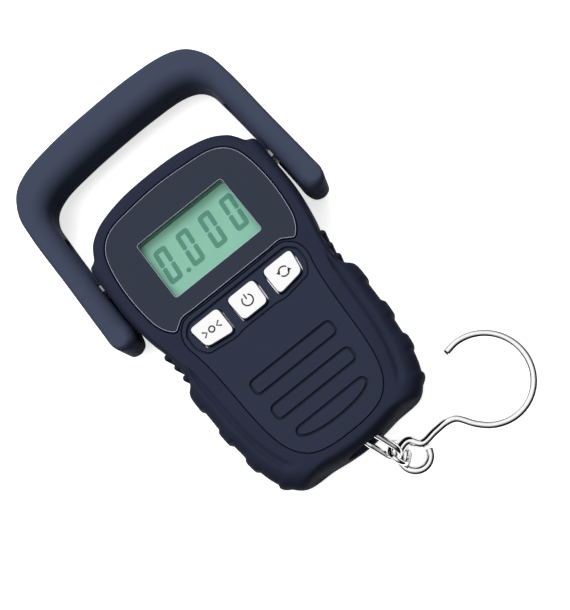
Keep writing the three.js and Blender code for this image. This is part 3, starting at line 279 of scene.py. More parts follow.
def rounding(loop, across, rise, top, steps):
    """The rings of a quarter circle: each draws the loop in by across * (1 - cos a), and lies
    rise * (1 - sin a) below the top."""
    return [at_height(inset(loop, across * (1 - np.cos(a))), top - rise * (1 - np.sin(a)))
            for a in np.linspace(0, np.pi / 2, steps)]


def prism(loop, bottom, top, round_off=0):
    """A loop drawn straight up, its upper edge rounded off where a radius is given."""
    upper = rounding(loop, round_off, round_off, top, 6) if round_off else [at_height(loop, top)]
    return solid([at_height(loop, bottom)] + upper)


def circle(radius, x=0, y=0, sides=40):
    """Points at even angles on a circle round a place."""
    angle = np.linspace(0, 2 * np.pi, sides, endpoint=False)
    return np.column_stack([x + radius * np.cos(angle), y + radius * np.sin(angle)])


def box_loop(x0, x1, y0, y1):
    """The four corners of an upright rectangle, anticlockwise."""
    return np.array([(x0, y0), (x1, y0), (x1, y1), (x0, y1)], float)


def lying(parts, x=0, y=0, z=0):
    """A body that stands on Z laid along X instead, then moved: (x, y, z) goes to (z, x, y)."""
    return [(points[:, [2, 0, 1]] + (x, y, z), faces) for points, faces in parts]


def mesh_of(name, parts, merge=2e-7):
    """A mesh in metres of parts in millimetres, with the points that coincide merged."""
    start = np.cumsum([0] + [len(points) for points, _ in parts])
    faces = [face for (_, group), first in zip(parts, start) for face in (group + first).tolist()]
    mesh = bpy.data.meshes.new(name)
    mesh.from_pydata(np.vstack([points for points, _ in parts]) / 1000, [], faces)
    work = bmesh.new()
    work.from_mesh(mesh)
    bmesh.ops.remove_doubles(work, verts=work.verts, dist=merge)
    work.to_mesh(mesh)
    work.free()
    return mesh


def piece_of(name, body, material, base, joined=(), cut=(), added=(), drilled=(), crease=35):
    """A piece that rides on a body: a closed base has bodies joined on, then cut away, then
    others added and drilled. It is shaded smooth up to the crease angle, and the large faces
    decide the slope at the edges they share."""
    piece = new_object(name, mesh_of(name, base))
    steps = (("UNION", joined), ("DIFFERENCE", cut), ("UNION", added), ("DIFFERENCE", drilled))
    tools = []
    for operation, parts in ((operation, part) for operation, group in steps for part in group):
        tool = new_object("tool", mesh_of("tool", parts))
        step = piece.modifiers.new(operation, "BOOLEAN")
        step.operation, step.solver, step.object = operation, "MANIFOLD", tool
        tools.append(tool)
    if tools:
        finished = piece.evaluated_get(bpy.context.evaluated_depsgraph_get())
        rough, shaped = piece.data, bpy.data.meshes.new_from_object(finished)
        piece.modifiers.clear()
        piece.data = shaped
        bpy.data.meshes.remove(rough)
        shaped.name = name
        for tool in tools:
            bpy.data.meshes.remove(tool.data)
    piece.data.polygons.foreach_set("use_smooth", np.ones(len(piece.data.polygons), bool))
    piece.data.set_sharp_from_angle(angle=np.radians(crease))
    shading = piece.modifiers.new("face_weights", "WEIGHTED_NORMAL")
    shading.keep_sharp = True
    piece.data.materials.clear()
    piece.data.materials.append(material)
    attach(piece, body)
    return piece


def noise(tree, blotch_mm, detail):
    """Noise from 0 to 1 whose blotches have about the given size on the piece."""
    return add_node(tree, "ShaderNodeTexNoise", {
        "Vector": add_node(tree, "ShaderNodeTexCoord").outputs["Object"],
        "Scale": 1000 / blotch_mm, "Detail": detail}).outputs["Fac"]


def finish_material(material, tree, inputs):
    """Gives a material its surface and returns it."""
    surface = add_node(tree, "ShaderNodeBsdfPrincipled", inputs)
    add_node(tree, "ShaderNodeOutputMaterial", {"Surface": surface.outputs[0]})
    return material


def moulded_plastic(name, base, roughness, specular, grain_mm, grain_strength):
    """ABS from a spark-eroded mould: a fine even grain, and a faint cloudiness in the colour."""
    material, tree = empty_material(name)
    dark, light = ((*(np.array(colour(base)[:3]) * k), 1) for k in (0.93, 1.07))
    tint = blend(tree, noise(tree, 14, 3.0), dark, light)
    bump = add_node(tree, "ShaderNodeBump", {
        "Height": noise(tree, grain_mm, 2.0), "Strength": grain_strength,
        "Distance": grain_mm / 1000})
    return finish_material(material, tree, {
        "Base Color": tint, "Roughness": roughness, "Specular IOR Level": specular,
        "IOR": 1.1, "Normal": bump.outputs[0]})


def lump_at(y):
    """Relief of the finger lumps along the side: full inside each, a smooth step at its ends."""
    middle, half = np.array(lump_shares).T
    past = np.abs(y[:, None] / half_length - middle) - half
    t = np.clip((past + lump_blend_share) / (2 * lump_blend_share), 0, 1)
    return lump_relief * (1 - t * t * (3 - 2 * t)).max(1)


def valley_at(y, draw):
    """Depth of the soft valley beside the panel: a bell across it, faded out at both ends."""
    across = np.exp(-((draw - valley_draw) / valley_spread) ** 2)
    ends = [np.clip((share - y / half_length) / valley_fade + 0.5, 0, 1)
            for share in (valley_bottom, valley_top)]
    ends = [t * t * (3 - 2 * t) for t in ends]
    return valley_depth * across * (ends[1] - ends[0])


girth = mirrored_loop(girth_shares, half_width, half_length)
face = mirrored_loop(face_shares, half_width, half_length)
hollow = mirrored_loop(hollow_shares, half_width, half_length)


def half_body(flat_loop, start, end, valley=0):
    """The outside of one half: its loop goes from the girth to the flat face along a quarter of
    a superellipse, height = sin(t)^(2/n) and draw = 1 - cos(t)^(2/n), with the lumps fading as
    the square of the height."""
    rings = []
    for t in np.linspace(0, np.pi / 2, 40):
        share = np.sin(t) ** (2 / corner_sharpness)
        draw = 1 - max(np.cos(t), 0) ** (2 / corner_sharpness)
        loop = girth + (flat_loop - girth) * draw
        loop[:, 0] += lump_at(girth[:, 1]) * (1 - share ** 2) * np.sign(loop[:, 0])
        z = start + share * (end - start) - valley * valley_at(girth[:, 1], draw) * (draw < 1)
        rings.append(np.column_stack([loop, z]))
    return solid(rings if end > start else rings[::-1])


def hollow_body(start, end):
    """The room inside one half, which narrows as the square of the share of the way."""
    rings = [
        at_height(hollow * (1 - hollow_taper_share * share ** 2), start + share * (end - start))
        for share in (0, 0.5, 1)]
    return solid(rings if end > start else rings[::-1])


def rib(side, share, start, end):
    """A small round rib up the side of the body, domed at its tip."""
    y = share * half_length
    near = girth[np.sign(girth[:, 0]) == side]
    x = near[np.argmin(np.abs(near[:, 1] - y)), 0]
    up = np.sign(end - start)
    angle = np.linspace(0, np.pi / 2 - 0.05, 6)
    rings = [at_height(circle(rib_radius, x, y, 24), start)] + [
        at_height(circle(rib_radius * np.cos(a), x, y, 24), end - up * rib_radius * (1 - np.sin(a)))
        for a in angle]
    return solid(rings if up > 0 else rings[::-1])


def rounded_loop(corners, radius, steps=8):
    """A polygon whose corners are quadratic curves that start and end a radius from the corner."""
    corner = np.asarray(corners, float)
    back, on = np.roll(corner, 1, 0) - corner, np.roll(corner, -1, 0) - corner
    start = corner + back * (radius / np.linalg.norm(back, axis=1))[:, None]
    end = corner + on * (radius / np.linalg.norm(on, axis=1))[:, None]
    t = np.linspace(0, 1, steps)[None, :, None]
    curve = (1 - t)**2 * start[:, None] + 2 * t * (1 - t) * corner[:, None] + t**2 * end[:, None]
    return curve.reshape(-1, 2)


window_shares = [
    (0, 1), (0.36, 0.985), (0.69, 0.95), (0.83, 0.895), (0.922, 0.81), (0.977, 0.665), (1, 0.405),
    (0.962, 0.132), (0.929, 0.053), (0.874, -0.016), (0.806, -0.055), (0.735, -0.028),
    (0.67, 0), (0.5, 0), (0, 0),
]
window_half_width, window_top, window_bottom = 30.9, 52.2, 8.4
window_loop = mirrored_loop(
    window_shares, window_half_width, window_top - window_bottom, window_bottom)
panel_shares = [
    (0, 1), (0.4, 1), (0.81, 1), (0.875, 0.986), (0.955, 0.953), (0.995, 0.91), (0.998, 0.865),
    (0.964, 0.8), (0.924, 0.688), (0.896, 0.54), (0.863, 0.34), (0.819, 0.216), (0.755, 0.134),
    (0.659, 0.074), (0.522, 0.031), (0.301, 0.0065), (0, 0),
]
panel_half_width, panel_top, panel_bottom = 24.9, 7.3, -54.8
panel_loop = mirrored_loop(panel_shares, panel_half_width, panel_top - panel_bottom, panel_bottom)
display_half_width, display_half_height, display_middle, display_corner = 18.25, 11.85, 27.2, 1.2


def display_loop(margin):
    """The display opening, moved out by a margin."""
    w, h = display_half_width + margin, display_half_height + margin
    return rounded_loop(box_loop(-w, w, display_middle - h, display_middle + h), display_corner)


button_round = 2.2
side_corners = np.array([(-21.4, 3.9), (-19.9, -5.1), (-9.2, -6.6), (-9.2, 3.9)])
middle_corners = np.array([(-5.75, 3.9), (-5.25, -5.9), (5.25, -5.9), (5.75, 3.9)])
corner_signs = np.array([(-1, 1), (-1, -1), (1, -1), (1, 1)])
left_corners = side_corners, corner_signs
right_corners = side_corners[::-1] * (-1, 1), corner_signs[::-1] * (-1, 1)
buttons = {"tare": left_corners, "power": (middle_corners, corner_signs), "unit": right_corners}


def button_loop(name, margin=0):
    """A button's rounded corners, moved out by a margin."""
    corners, signs = buttons[name]
    return rounded_loop(corners + signs * margin, button_round + margin)


def flared(loop, bottom, top, lip=0.3):
    """A cutting body whose sides open out in a quarter circle at the top, for a rounded edge."""
    rings = [at_height(loop, bottom)] + rounding(loop, -lip, lip, top, 5)
    return solid(rings + [at_height(inset(loop, -lip), top + beyond)])


pin_bore = lying(prism(
    circle(journal_radius + seat_gap, pin_height, parting), -bore_reach, bore_reach))
collar_end = half_width - wall
collar_start = collar_end - slide_gap - collar_length - seat_gap
collar_rooms = [
    lying(prism(circle(collar_radius + seat_gap, pin_height, parting), *ends))
    for ends in ((collar_start, collar_end), (-collar_end, -collar_start))]
def posts(places, radius, bottom, top):
    """A round post, or a round hole to cut, at each place."""
    return [prism(circle(radius, x, y), bottom, top) for x, y in places]


mouth_loop = circle(1, sides=60) * (mouth_half_width, mouth_half_depth) + (0, -parting)
mouth = [(points[:, [0, 2, 1]] * (1, 1, -1), faces)
         for points, faces in prism(mouth_loop, -half_length - beyond, -half_length + 2 * wall)]

shell_plastic = moulded_plastic(
    "spark-eroded ABS, shell", "#2a2f40", roughness=0.45, specular=0.03,
    grain_mm=0.35, grain_strength=0.12)
front_start = parting + parting_gap / 2
screw_hole_radius, head_hole_radius = screw_radius + seat_gap, screw_head_radius + seat_gap
board_post_foot = board_underside + board_thickness + seat_gap
front_housing = piece_of(
    "moulded_front_housing", "body", shell_plastic,
    half_body(face, front_start, depth, valley=1),
    joined=[rib(side, share, front_start, parting + rib_reach)
            for side in (-1, 1) for share in rib_shares],
    cut=[hollow_body(front_start - beyond, ceiling)],
    added=posts(housing_screws, boss_radius, front_start, ceiling + overlap)
    + posts(board_posts, board_post_radius, board_post_foot, ceiling + overlap),
    drilled=posts(housing_screws, screw_hole_radius, front_start - overlap, ceiling - seat_gap)
    + posts(board_posts, screw_hole_radius, board_post_foot - overlap, ceiling - seat_gap)
    + [flared(inset(window_loop, -seat_gap), inlay_seat, depth),
       flared(inset(panel_loop, -seat_gap), inlay_seat, depth),
       prism(display_loop(seat_gap), ceiling - overlap, depth),
       *[prism(button_loop(name, seat_gap), ceiling - overlap, depth) for name in buttons],
       pin_bore, *collar_rooms, mouth])
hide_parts("front_housing")


# Rear housing: the lower half of the body, moulded in the same ABS. Its flat back takes four
# screws in deep wells and the battery bay, and its inside has the seats of the load beam.
back_spread_share = 1.05
bay_half_width, bay_half_height, bay_middle, bay_roof, bay_wall = 26.0, 12.1, 24.5, 13.2, 1.3
cover_thickness, cover_tab, cover_tab_width = 1.8, 2.0, 6.0
bay_corner = 0.5
beam_middle_y, beam_middle_z, beam_depth = -39.0, 13.0, 8
beam_underside = beam_middle_z - beam_depth / 2
beam_screws = [(-21.0, beam_middle_y), (21.0, beam_middle_y)]


def bay_box(margin, bottom, top):
    """The battery bay's upright room, moved out by a margin."""
    w, h = bay_half_width + margin, bay_half_height + margin
    loop = rounded_loop(box_loop(-w, w, bay_middle - h, bay_middle + h), bay_corner)
    return prism(loop, bottom, top)


tab_pockets = [
    prism(box_loop(
        side * bay_half_width / 2 - cover_tab_width / 2 - seat_gap,
        side * bay_half_width / 2 + cover_tab_width / 2 + seat_gap,
        bay_middle - bay_half_height - cover_tab - 2 * seat_gap,
        bay_middle - bay_half_height + beyond), cover_thickness, cover_thickness + 2 * cover_tab)
    for side in (-1, 1)]
rear_end = parting - parting_gap / 2
rear_housing = piece_of(
    "moulded_rear_housing", "body", shell_plastic,
    half_body(face * back_spread_share, rear_end, 0),
    joined=[rib(side, share, rear_end, parting - rib_reach)
            for side in (-1, 1) for share in rib_shares],
    cut=[hollow_body(rear_end + beyond, wall)],
    added=[bay_box(bay_wall, wall / 2, bay_roof + bay_wall)]
    + posts(housing_screws, head_boss_radius, wall / 2, rear_end)
    + posts(beam_screws, boss_radius, wall / 2, beam_underside - seat_gap),
    drilled=[bay_box(0, -beyond, bay_roof), bay_box(seat_gap, -beyond, cover_thickness + seat_gap),
             *tab_pockets, pin_bore, *collar_rooms, mouth]
    + posts(housing_screws, head_hole_radius, -beyond, head_seat)
    + posts(housing_screws, screw_hole_radius, -beyond, rear_end + overlap)
    + posts(beam_screws, screw_hole_radius, wall, beam_underside))
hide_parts("rear_housing")


# Battery cover, its tabs and its latch: moulded in one in the shell's ABS, hooked into the back
# and snapped shut. It keeps the frame's shape.
def finish_node(name, material):
    """Gives a node of the frame its material."""
    mesh = nodes[name].data
    mesh.materials.clear()
    mesh.materials.append(material)


finish_node("battery_cover", shell_plastic)


# Display window: a plate of clear acrylic, painted black on its back except in front of the
# display, pressed into the housing. Light grey bands on its polished edges are painted highlights,
# and the wall of the display opening is painted green, the display's light reflected on it.
window_round = 0.3
line_width, line_depth, line_lift = 0.11, 0.1, 0.02
opening_wall_outside, opening_wall_inside, opening_wall_foot = 0.10, 0.01, 23.2
pane_gap, pane_thickness = 0.02, 0.1


def uneven(tree, blotches, roughness, spread):
    """A roughness that follows the blotches, a share of the spread below and above its mean."""
    return add_node(tree, "ShaderNodeMapRange", {
        "Value": blotches, "From Min": 0.3, "From Max": 0.7, "To Min": roughness * (1 - spread),
        "To Max": roughness * (1 + spread)}).outputs[0]


def lacquer(name, base, roughness, **inputs):
    """A plain shiny surface whose polish is a little uneven, as hand wiping leaves it."""
    material, tree = empty_material(name)
    polish = uneven(tree, noise(tree, 9, 4.0), roughness, 0.3)
    return finish_material(material, tree, {
        "Base Color": colour(base), "Roughness": polish, **inputs})


black_acrylic = lacquer("back-painted acrylic", "#0a1a30", 0.06, **{"Specular IOR Level": 0.42})
clear_acrylic = lacquer("clear acrylic", "#26332e", 0.05, Alpha=0.10)
# A light grey on the thin edge bands: a painted highlight where the polished edges catch the light.
edge_highlight_paint = lacquer("acrylic edge with painted highlight", "#b4bbc8", 0.2)
# A green on the display opening's wall: painted light, the display's green reflected onto the wall.
display_light_painted_acrylic = lacquer("acrylic wall with painted display light", "#4a8570", 0.3)
window = piece_of("glossy_display_window", "body", black_acrylic,
                  prism(window_loop, inlay_floor, depth, round_off=window_round),
                  cut=[prism(display_loop(0), inlay_floor - overlap, depth + overlap)])
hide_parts("display_window")


def ring_band(loop, near, far, bottom, top):
    """A thin closed frame along a loop: up its outer side, over the top and down its inner side."""
    rings = [at_height(inset(loop, across), z)
             for across, z in ((far, bottom), (near, bottom), (near, top), (far, top))]
    return [skin(rings + rings[:1])]


# Thin light grey bands along the window's outer edge and round the display opening: painted
# highlights.
edges = piece_of(
    "window_edges_painted_highlight", "body", edge_highlight_paint,
    ring_band(window_loop, window_round, window_round + line_width,
              depth - line_depth, depth + line_lift)
    + ring_band(display_loop(0), -line_width, 0, depth - line_depth, depth + line_lift))
# The wall round the display opening, painted green as the display's light reflected on it.
opening_wall = piece_of(
    "display_opening_wall", "body", display_light_painted_acrylic,
    ring_band(display_loop(0), -opening_wall_outside, -opening_wall_inside,
              opening_wall_foot, depth - line_depth))
pane = piece_of("clear_display_pane", "body", clear_acrylic, prism(
    display_loop(-pane_gap), depth - pane_gap - pane_thickness, depth - pane_gap))


# Display: a reflective liquid crystal cell with a green backing. Its picture is four slanted
# noughts, each an arch over a trough without a middle bar, and a point, all a darker green.
stroke, digit_width, digit_height, digit_round, slant, bar_gap = 1.65, 5.2, 13.6, 1.5, 0.085, 0.55
digit_foot = display_middle - 5.95
digit_lefts = (-17.1, -7.45, 2.2, 11.5)
point_place, point_radius = (-9.4, display_middle - 5.3), 0.85
ink_bottom, ink_top = 23.12, 23.18


def display_green():
    """The polariser's green, a little cloudy, and lit faintly from behind."""
    material, tree = empty_material("liquid crystal glass")
    tint = blend(tree, noise(tree, 11, 1.0), colour("#8ccab2"), colour("#9fdac2"))
    return finish_material(material, tree, {
        "Base Color": tint, "Roughness": 0.35, "Specular IOR Level": 0.2,
        "Emission Color": tint, "Emission Strength": 0.10})


finish_node("lcd_glass", display_green())


def digit_strokes(left, corner_steps=10):
    """A nought's arch and its trough, each a bent band whose free ends are cut to a point. Both
    lean: a point moves sideways by the slant times its height."""
    w, h, s, free = digit_width, digit_height, stroke, digit_height / 2 + bar_gap
    tip = digit_height / 2 + bar_gap / 4
    under = [(0, free), (s / 2, tip), (s, free), (s, h - s), (w - s, h - s), (w - s, free),
             (w - s / 2, tip), (w, free)]
    over = rounded_loop(box_loop(0, w, 0, h), digit_round, corner_steps)[2 * corner_steps:]
    arch = np.vstack([under, over])
    trough = (arch * (1, -1) + (0, h))[::-1]
    return [band + slant * band[:, 1:] * (1, 0) + (left, digit_foot) for band in (arch, trough)]


segment_ink = lacquer("liquid crystal segment", "#61a38e", 0.4, **{"Specular IOR Level": 0.2})
segments = [part for left in digit_lefts for band in digit_strokes(left)
            for part in prism(band, ink_bottom, ink_top)]
segments += prism(circle(point_radius, *point_place), ink_bottom, ink_top)
digits = piece_of("display_segments", "body", segment_ink, segments)


# Front panel: a matt ABS plate glued into the face, with a sunk tray round the buttons and
# three grooved pads below them. The place above the pads is left bare.
panel_round = 0.2
surround_margin, surround_depth, surround_round = 2.1, 0.5, 1.6
surround_groove_width, surround_groove_depth = 0.8, 0.7
groove_width, groove_depth, groove_flank_share, groove_lip = 1.0, 1.1, 0.22, 0.1
pad_sizes = [(16.8, -22.3, -28.4, 0), (16.2, -32.8, -38.9, 0), (14.1, -43.2, -47.0, 2.4)]
pad_round = 2.5


def surround_loop(margin):
    """The tray's outline: along the tops of the buttons, and round the foot of each."""
    (lt, lb, rb), m = side_corners[:3], margin
    middle_foot, middle_side = middle_corners[1, 1], middle_corners[3, 0]
    right = np.array([
        (middle_side + m / 2, middle_foot - m), (-rb[0] + m / 2, rb[1] - m),
        (-lb[0] + m / 2, lb[1] - m), (-lt[0] + m, lb[1] + m),
        (-lt[0] + m, lt[1] - m / 2), (-lt[0] - m / 2, lt[1] + m)])
    return rounded_loop(np.vstack([right, right[::-1] * (-1, 1)]), surround_round)


def bezier(points, steps=16):
    """A cubic curve drawn by its four control points."""
    t = np.linspace(0, 1, steps)[:, None]
    a, b, c, d = (np.array(point, float) for point in points)
    return (1 - t)**3 * a + 3 * t * (1 - t)**2 * b + 3 * t**2 * (1 - t) * c + t**3 * d


def pad_loop(half, top, bottom, sag):
    """A rounded bar; the last one sags to a bow below."""
    if not sag:
        return rounded_loop(box_loop(-half, half, bottom, top), pad_round)
    low, r = bottom - sag, pad_round
    right = np.vstack([
        bezier([(0, low), (0.62 * half, low), (0.98 * half, bottom - sag / 4), (half, top - r)]),
        bezier([(half, top - r), (half, top - r / 3), (half - r / 3, top), (half - r, top)],
               8)[1:]])
    return np.vstack([right, (right * (-1, 1))[-1:0:-1]])


def groove(loop, width, deep, top):
    """A channel along a loop with sloping sides, as a closed ring: up its outer side, over the
    top and down its inner side."""
    flank = width * groove_flank_share
    rings = [at_height(inset(loop, across), z) for across, z in (
        (width - flank, top - deep), (flank, top - deep), (0, top + groove_lip),
        (0, top + overlap), (width, top + overlap), (width, top + groove_lip))]
    return [skin(rings + rings[:1])]


panel_plastic = moulded_plastic(
    "spark-eroded ABS, panel", "#2e3444", roughness=0.5, specular=0.2,
    grain_mm=0.30, grain_strength=0.15)
panel = piece_of(
    "matt_front_panel", "body", panel_plastic,
    prism(panel_loop, inlay_floor, depth, round_off=panel_round),
    cut=[prism(surround_loop(surround_margin), depth - surround_depth, depth + overlap),
         groove(surround_loop(surround_margin), surround_groove_width, surround_groove_depth,
                depth - surround_depth)]
    + [prism(button_loop(name, seat_gap), inlay_floor - overlap, depth + overlap)
       for name in buttons]
    + [groove(pad_loop(*pad), groove_width, groove_depth, depth) for pad in pad_sizes])
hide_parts("front_panel")


# Buttons: ABS plated with bright chromium, each a low cushion on a flange under the face. The
# marks are printed in black: a zero between arrows, a power sign and two turning arrows.
button_top, button_edge, button_crown = 27.9, 0.55, 0.12
flange, flange_depth, cap_overlap = 1.1, 1.2, 0.5
flange_top = ceiling - seat_gap
mark_line, mark_depth, mark_lift = 0.5, 0.25, 0.02


def plating(name, base, grazing_shade_tint, roughness, wave_mm, wave_strength):
    """Bright chromium: a metal whose mirror is very slightly wavy and unevenly polished; its
    specular tint paints shade where the eye meets it at a grazing angle."""
    material, tree = empty_material(name)
    polish = uneven(tree, noise(tree, 3, 4.0), roughness, 0.4)
    bump = add_node(tree, "ShaderNodeBump", {
        "Height": noise(tree, wave_mm, 1.0), "Strength": wave_strength,
        "Distance": wave_mm / 1000})
    return finish_material(material, tree, {
        "Base Color": colour(base), "Metallic": 1.0, "Roughness": polish,
        "Specular Tint": colour(grazing_shade_tint), "Normal": bump.outputs[0]})


# A grey specular tint paints shade along the edges of the button caps.
button_chrome = plating("chromium plated ABS", "#fbfbfc", grazing_shade_tint="#8a8c90", roughness=0.10,
                        wave_mm=3.0, wave_strength=0.006)
button_ink = lacquer("black printing ink", "#14161c", 0.5)


def cushion(loop, bottom, top, edge, crown):
    """A button's cap: straight sides, an edge rounded by a quarter circle, and a top that
    rises a little more towards its middle."""
    rings = [at_height(loop, bottom)] + rounding(loop, edge, edge, top - crown, 8)
    rim, middle = rings[-1], np.append(loop.mean(0), 0)
    for share in (0.9, 0.75, 0.55, 0.3, 0.1):
        ring = middle + (rim - middle) * share
        ring[:, 2] = top - crown * share ** 2
        rings.append(ring)
    return solid(rings)


def stroke_band(points, width):
    """A printed line: a path widened to both sides, as a closed loop."""
    path = np.asarray(points, float)
    along = np.gradient(path, axis=0)
    side = np.column_stack([-along[:, 1], along[:, 0]]) / np.linalg.norm(along, axis=1)[:, None]
    return np.vstack([path - side * width / 2, (path + side * width / 2)[::-1]])


def arc(radius, first, last, x=0, y=0, steps=24):
    """Points on a circle from the first angle to the last, in degrees."""
    angle = np.radians(np.linspace(first, last, steps))
    return np.column_stack([x + radius * np.cos(angle), y + radius * np.sin(angle)])


left_middle, power_middle, right_middle = (-15.0, -1.1), (0, -1.0), (15.0, -1.1)
marks = {
    "tare": [stroke_band(arc(1.0, 0, 360, *left_middle, 36), mark_line),
             stroke_band(np.array([(-3.4, 1.1), (-2.0, 0), (-3.4, -1.1)]) + left_middle, mark_line),
             stroke_band(np.array([(3.4, 1.1), (2.0, 0), (3.4, -1.1)]) + left_middle, mark_line)],
    "power": [stroke_band(arc(1.9, 125, 415, *power_middle), mark_line),
              stroke_band(np.array([(0, 0.4), (0, 1.4), (0, 2.4)]) + power_middle, mark_line)],
    "unit": [stroke_band(arc(1.7, 25, 155, *right_middle), mark_line),
             stroke_band(arc(1.7, 205, 335, *right_middle), mark_line),
             np.array([(-2.5, 0.9), (-0.9, 1.0), (-1.7, -0.3)]) + right_middle,
             np.array([(2.5, -0.9), (0.9, -1.0), (1.7, 0.3)]) + right_middle],
}
for name in buttons:
    cap = piece_of(
        f"{name}_button_cap", f"{name}_key", button_chrome,
        cushion(button_loop(name), flange_top - cap_overlap, button_top - mark_lift,
                button_edge, button_crown),
        joined=[prism(button_loop(name, flange), flange_top - flange_depth, flange_top)])
    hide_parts(f"{name}_button")
    printed = piece_of(
        f"{name}_button_marks", f"{name}_key", button_ink,
        [part for mark in marks[name] for part in prism(mark, button_top - mark_depth, button_top)])


# Chain and hook: chromium plated steel wire. The two rings are bent and butt welded, and the
# hook is one wire from the end of its eye to its blunt sawn tip.
# A near-black specular tint paints dark shade along the edges of the wire.
wire_chrome = plating("chromium plated steel wire", "#fafafa", grazing_shade_tint="#0a0a0c",
                      roughness=0.07, wave_mm=6.0, wave_strength=0.02)
eye_ring_radius, eye_wire_radius, eye_angle = 3.3, 1.1, np.radians(-65)
eye_ring_y = -51.6
hook_eye = np.array([10.8, -71.3, 4.6])
hook_eye_radius, hook_wire_radius, hook_contact = 5.1, 1.5, np.radians(120)
upper_seat = np.array([eye_ring_radius * np.cos(eye_angle),
                       eye_ring_y + eye_ring_radius * np.sin(eye_angle), beam_middle_z])
link_meeting = np.array([6.5, -68.6, 9.2])
hook_seat = hook_eye + hook_eye_radius * np.array([np.cos(hook_contact), np.sin(hook_contact), 0])
upper_wire_radius, upper_inner_width, link_play = 1.0, 4.4, 0.75
lower_wire_radius, lower_inner_width, lower_inner_length = 0.85, 5.0, 10.2
weld_bulge, weld_half_length = 0.10, 1.0
upper_link_facing = np.array([0.8, 0.1, -0.6])
bow_x, bow_y, bow_radius = 34.2, 5.2, 15.46
bow_start, bow_end, eye_start, eye_end = -142, 107, -12, -285
neck_shares = [(0.125, 0.0453), (0.29, 0.055), (0.435, 0.0579), (0.53, 0.0263)]


def wire(path, facing, radius, closed, sides=32):
    """A round wire along a flat path: at each point a circle spanned by the path's side way and
    the way its plane faces. An open wire ends in a small chamfer and a flat cut."""
    path, facing = np.asarray(path, float), np.asarray(facing, float)
    ends = (np.roll(path, -1, 0) - np.roll(path, 1, 0)) if closed else np.gradient(path, axis=0)
    along = ends / np.linalg.norm(ends, axis=1)[:, None]
    size = np.full(len(path), float(radius))
    if not closed:
        cut = 0.22 * radius
        first, last = path[0], path[-1]
        path = np.vstack([first, first, first + along[0] * cut, path[1:-1],
                          last - along[-1] * cut, last, last])
        along = np.vstack([along[:1], along[:1], along, along[-1:], along[-1:]])
        size = np.r_[0, radius * 0.8, size, radius * 0.8, 0]
    side = np.cross(facing, along)
    angle = np.linspace(0, 2 * np.pi, sides, endpoint=False)[None, :, None]
    rings = path[:, None] + size[:, None, None] * (
        np.cos(angle) * side[:, None] + np.sin(angle) * facing)
    return [skin(np.concatenate([rings, rings[:1]]) if closed else rings)]


def unit(vector):
    """The vector's direction."""
    return vector / np.linalg.norm(vector)


def link(centre, along, face_hint, inner_length, inner_width, wire_radius):
    """A stadium: two half circles joined by straights, in the plane that holds the link's length
    and faces nearest to the hint. One straight is a little thicker where its ends are welded."""
    radius = inner_width / 2 + wire_radius
    straight = inner_length + 2 * wire_radius - 2 * radius
    bend = np.linspace(0, np.pi, 28)
    upper = np.column_stack([radius * np.cos(bend), straight / 2 + radius * np.sin(bend)])
    run = np.linspace(1, -1, 25)[1:-1] * straight / 2
    left = np.column_stack([np.full(len(run), -radius), run])
    flat = np.vstack([upper, left, -upper, -left])
    y = unit(along)
    z = unit(face_hint - y * (face_hint @ y))
    x = np.cross(y, z)
    path = centre + flat[:, :1] * x + flat[:, 1:] * y
    points, quads = wire(path, z, wire_radius, closed=True)[0]
    grown = np.zeros(len(path) + 1)
    grown[len(upper):len(upper) + len(run)] = weld_bulge * np.exp(-(run / weld_half_length) ** 2)
    sides = len(points) // len(grown)
    axis = np.repeat(np.vstack([path, path[:1]]), sides, 0)
    return [(axis + (points - axis) * (1 + np.repeat(grown, sides)[:, None]), quads)]


upper_way = link_meeting - upper_seat
upper_inner_length = (
    np.linalg.norm(upper_way) + eye_wire_radius - upper_wire_radius + link_play)
upper_centre = upper_seat + unit(upper_way) * (upper_inner_length / 2 - eye_wire_radius - link_play)
upper_link = piece_of("welded_upper_link", "upper_ring", wire_chrome, link(
    upper_centre, upper_way, upper_link_facing, upper_inner_length, upper_inner_width,
    upper_wire_radius))
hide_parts("upper_link")
lower_way = hook_seat - link_meeting
lower_link = piece_of("welded_lower_link", "lower_ring", wire_chrome, link(
    (link_meeting + hook_seat) / 2, lower_way, np.cross(upper_way, lower_way),
    lower_inner_length, lower_inner_width, lower_wire_radius))
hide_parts("lower_link")

hook_flat = curve_through(np.vstack([
    arc(hook_eye_radius, eye_start, eye_end, steps=11), np.array(neck_shares) * bow_x,
    arc(bow_radius, bow_start, bow_end, bow_x, bow_y, steps=14)]), 10, closed=False)
hook_dip = np.arcsin((hook_eye[2] - hook_wire_radius) / (bow_x + bow_radius))
hook_across = np.array([np.cos(hook_dip), 0, -np.sin(hook_dip)])
hook_path = hook_eye + hook_flat[:, :1] * hook_across + hook_flat[:, 1:] * np.array([0, 1, 0])
hook = piece_of("bent_wire_hook", "hook", wire_chrome, wire(
    hook_path, np.cross(hook_across, [0, 1, 0]), hook_wire_radius, closed=False))
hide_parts("hook")


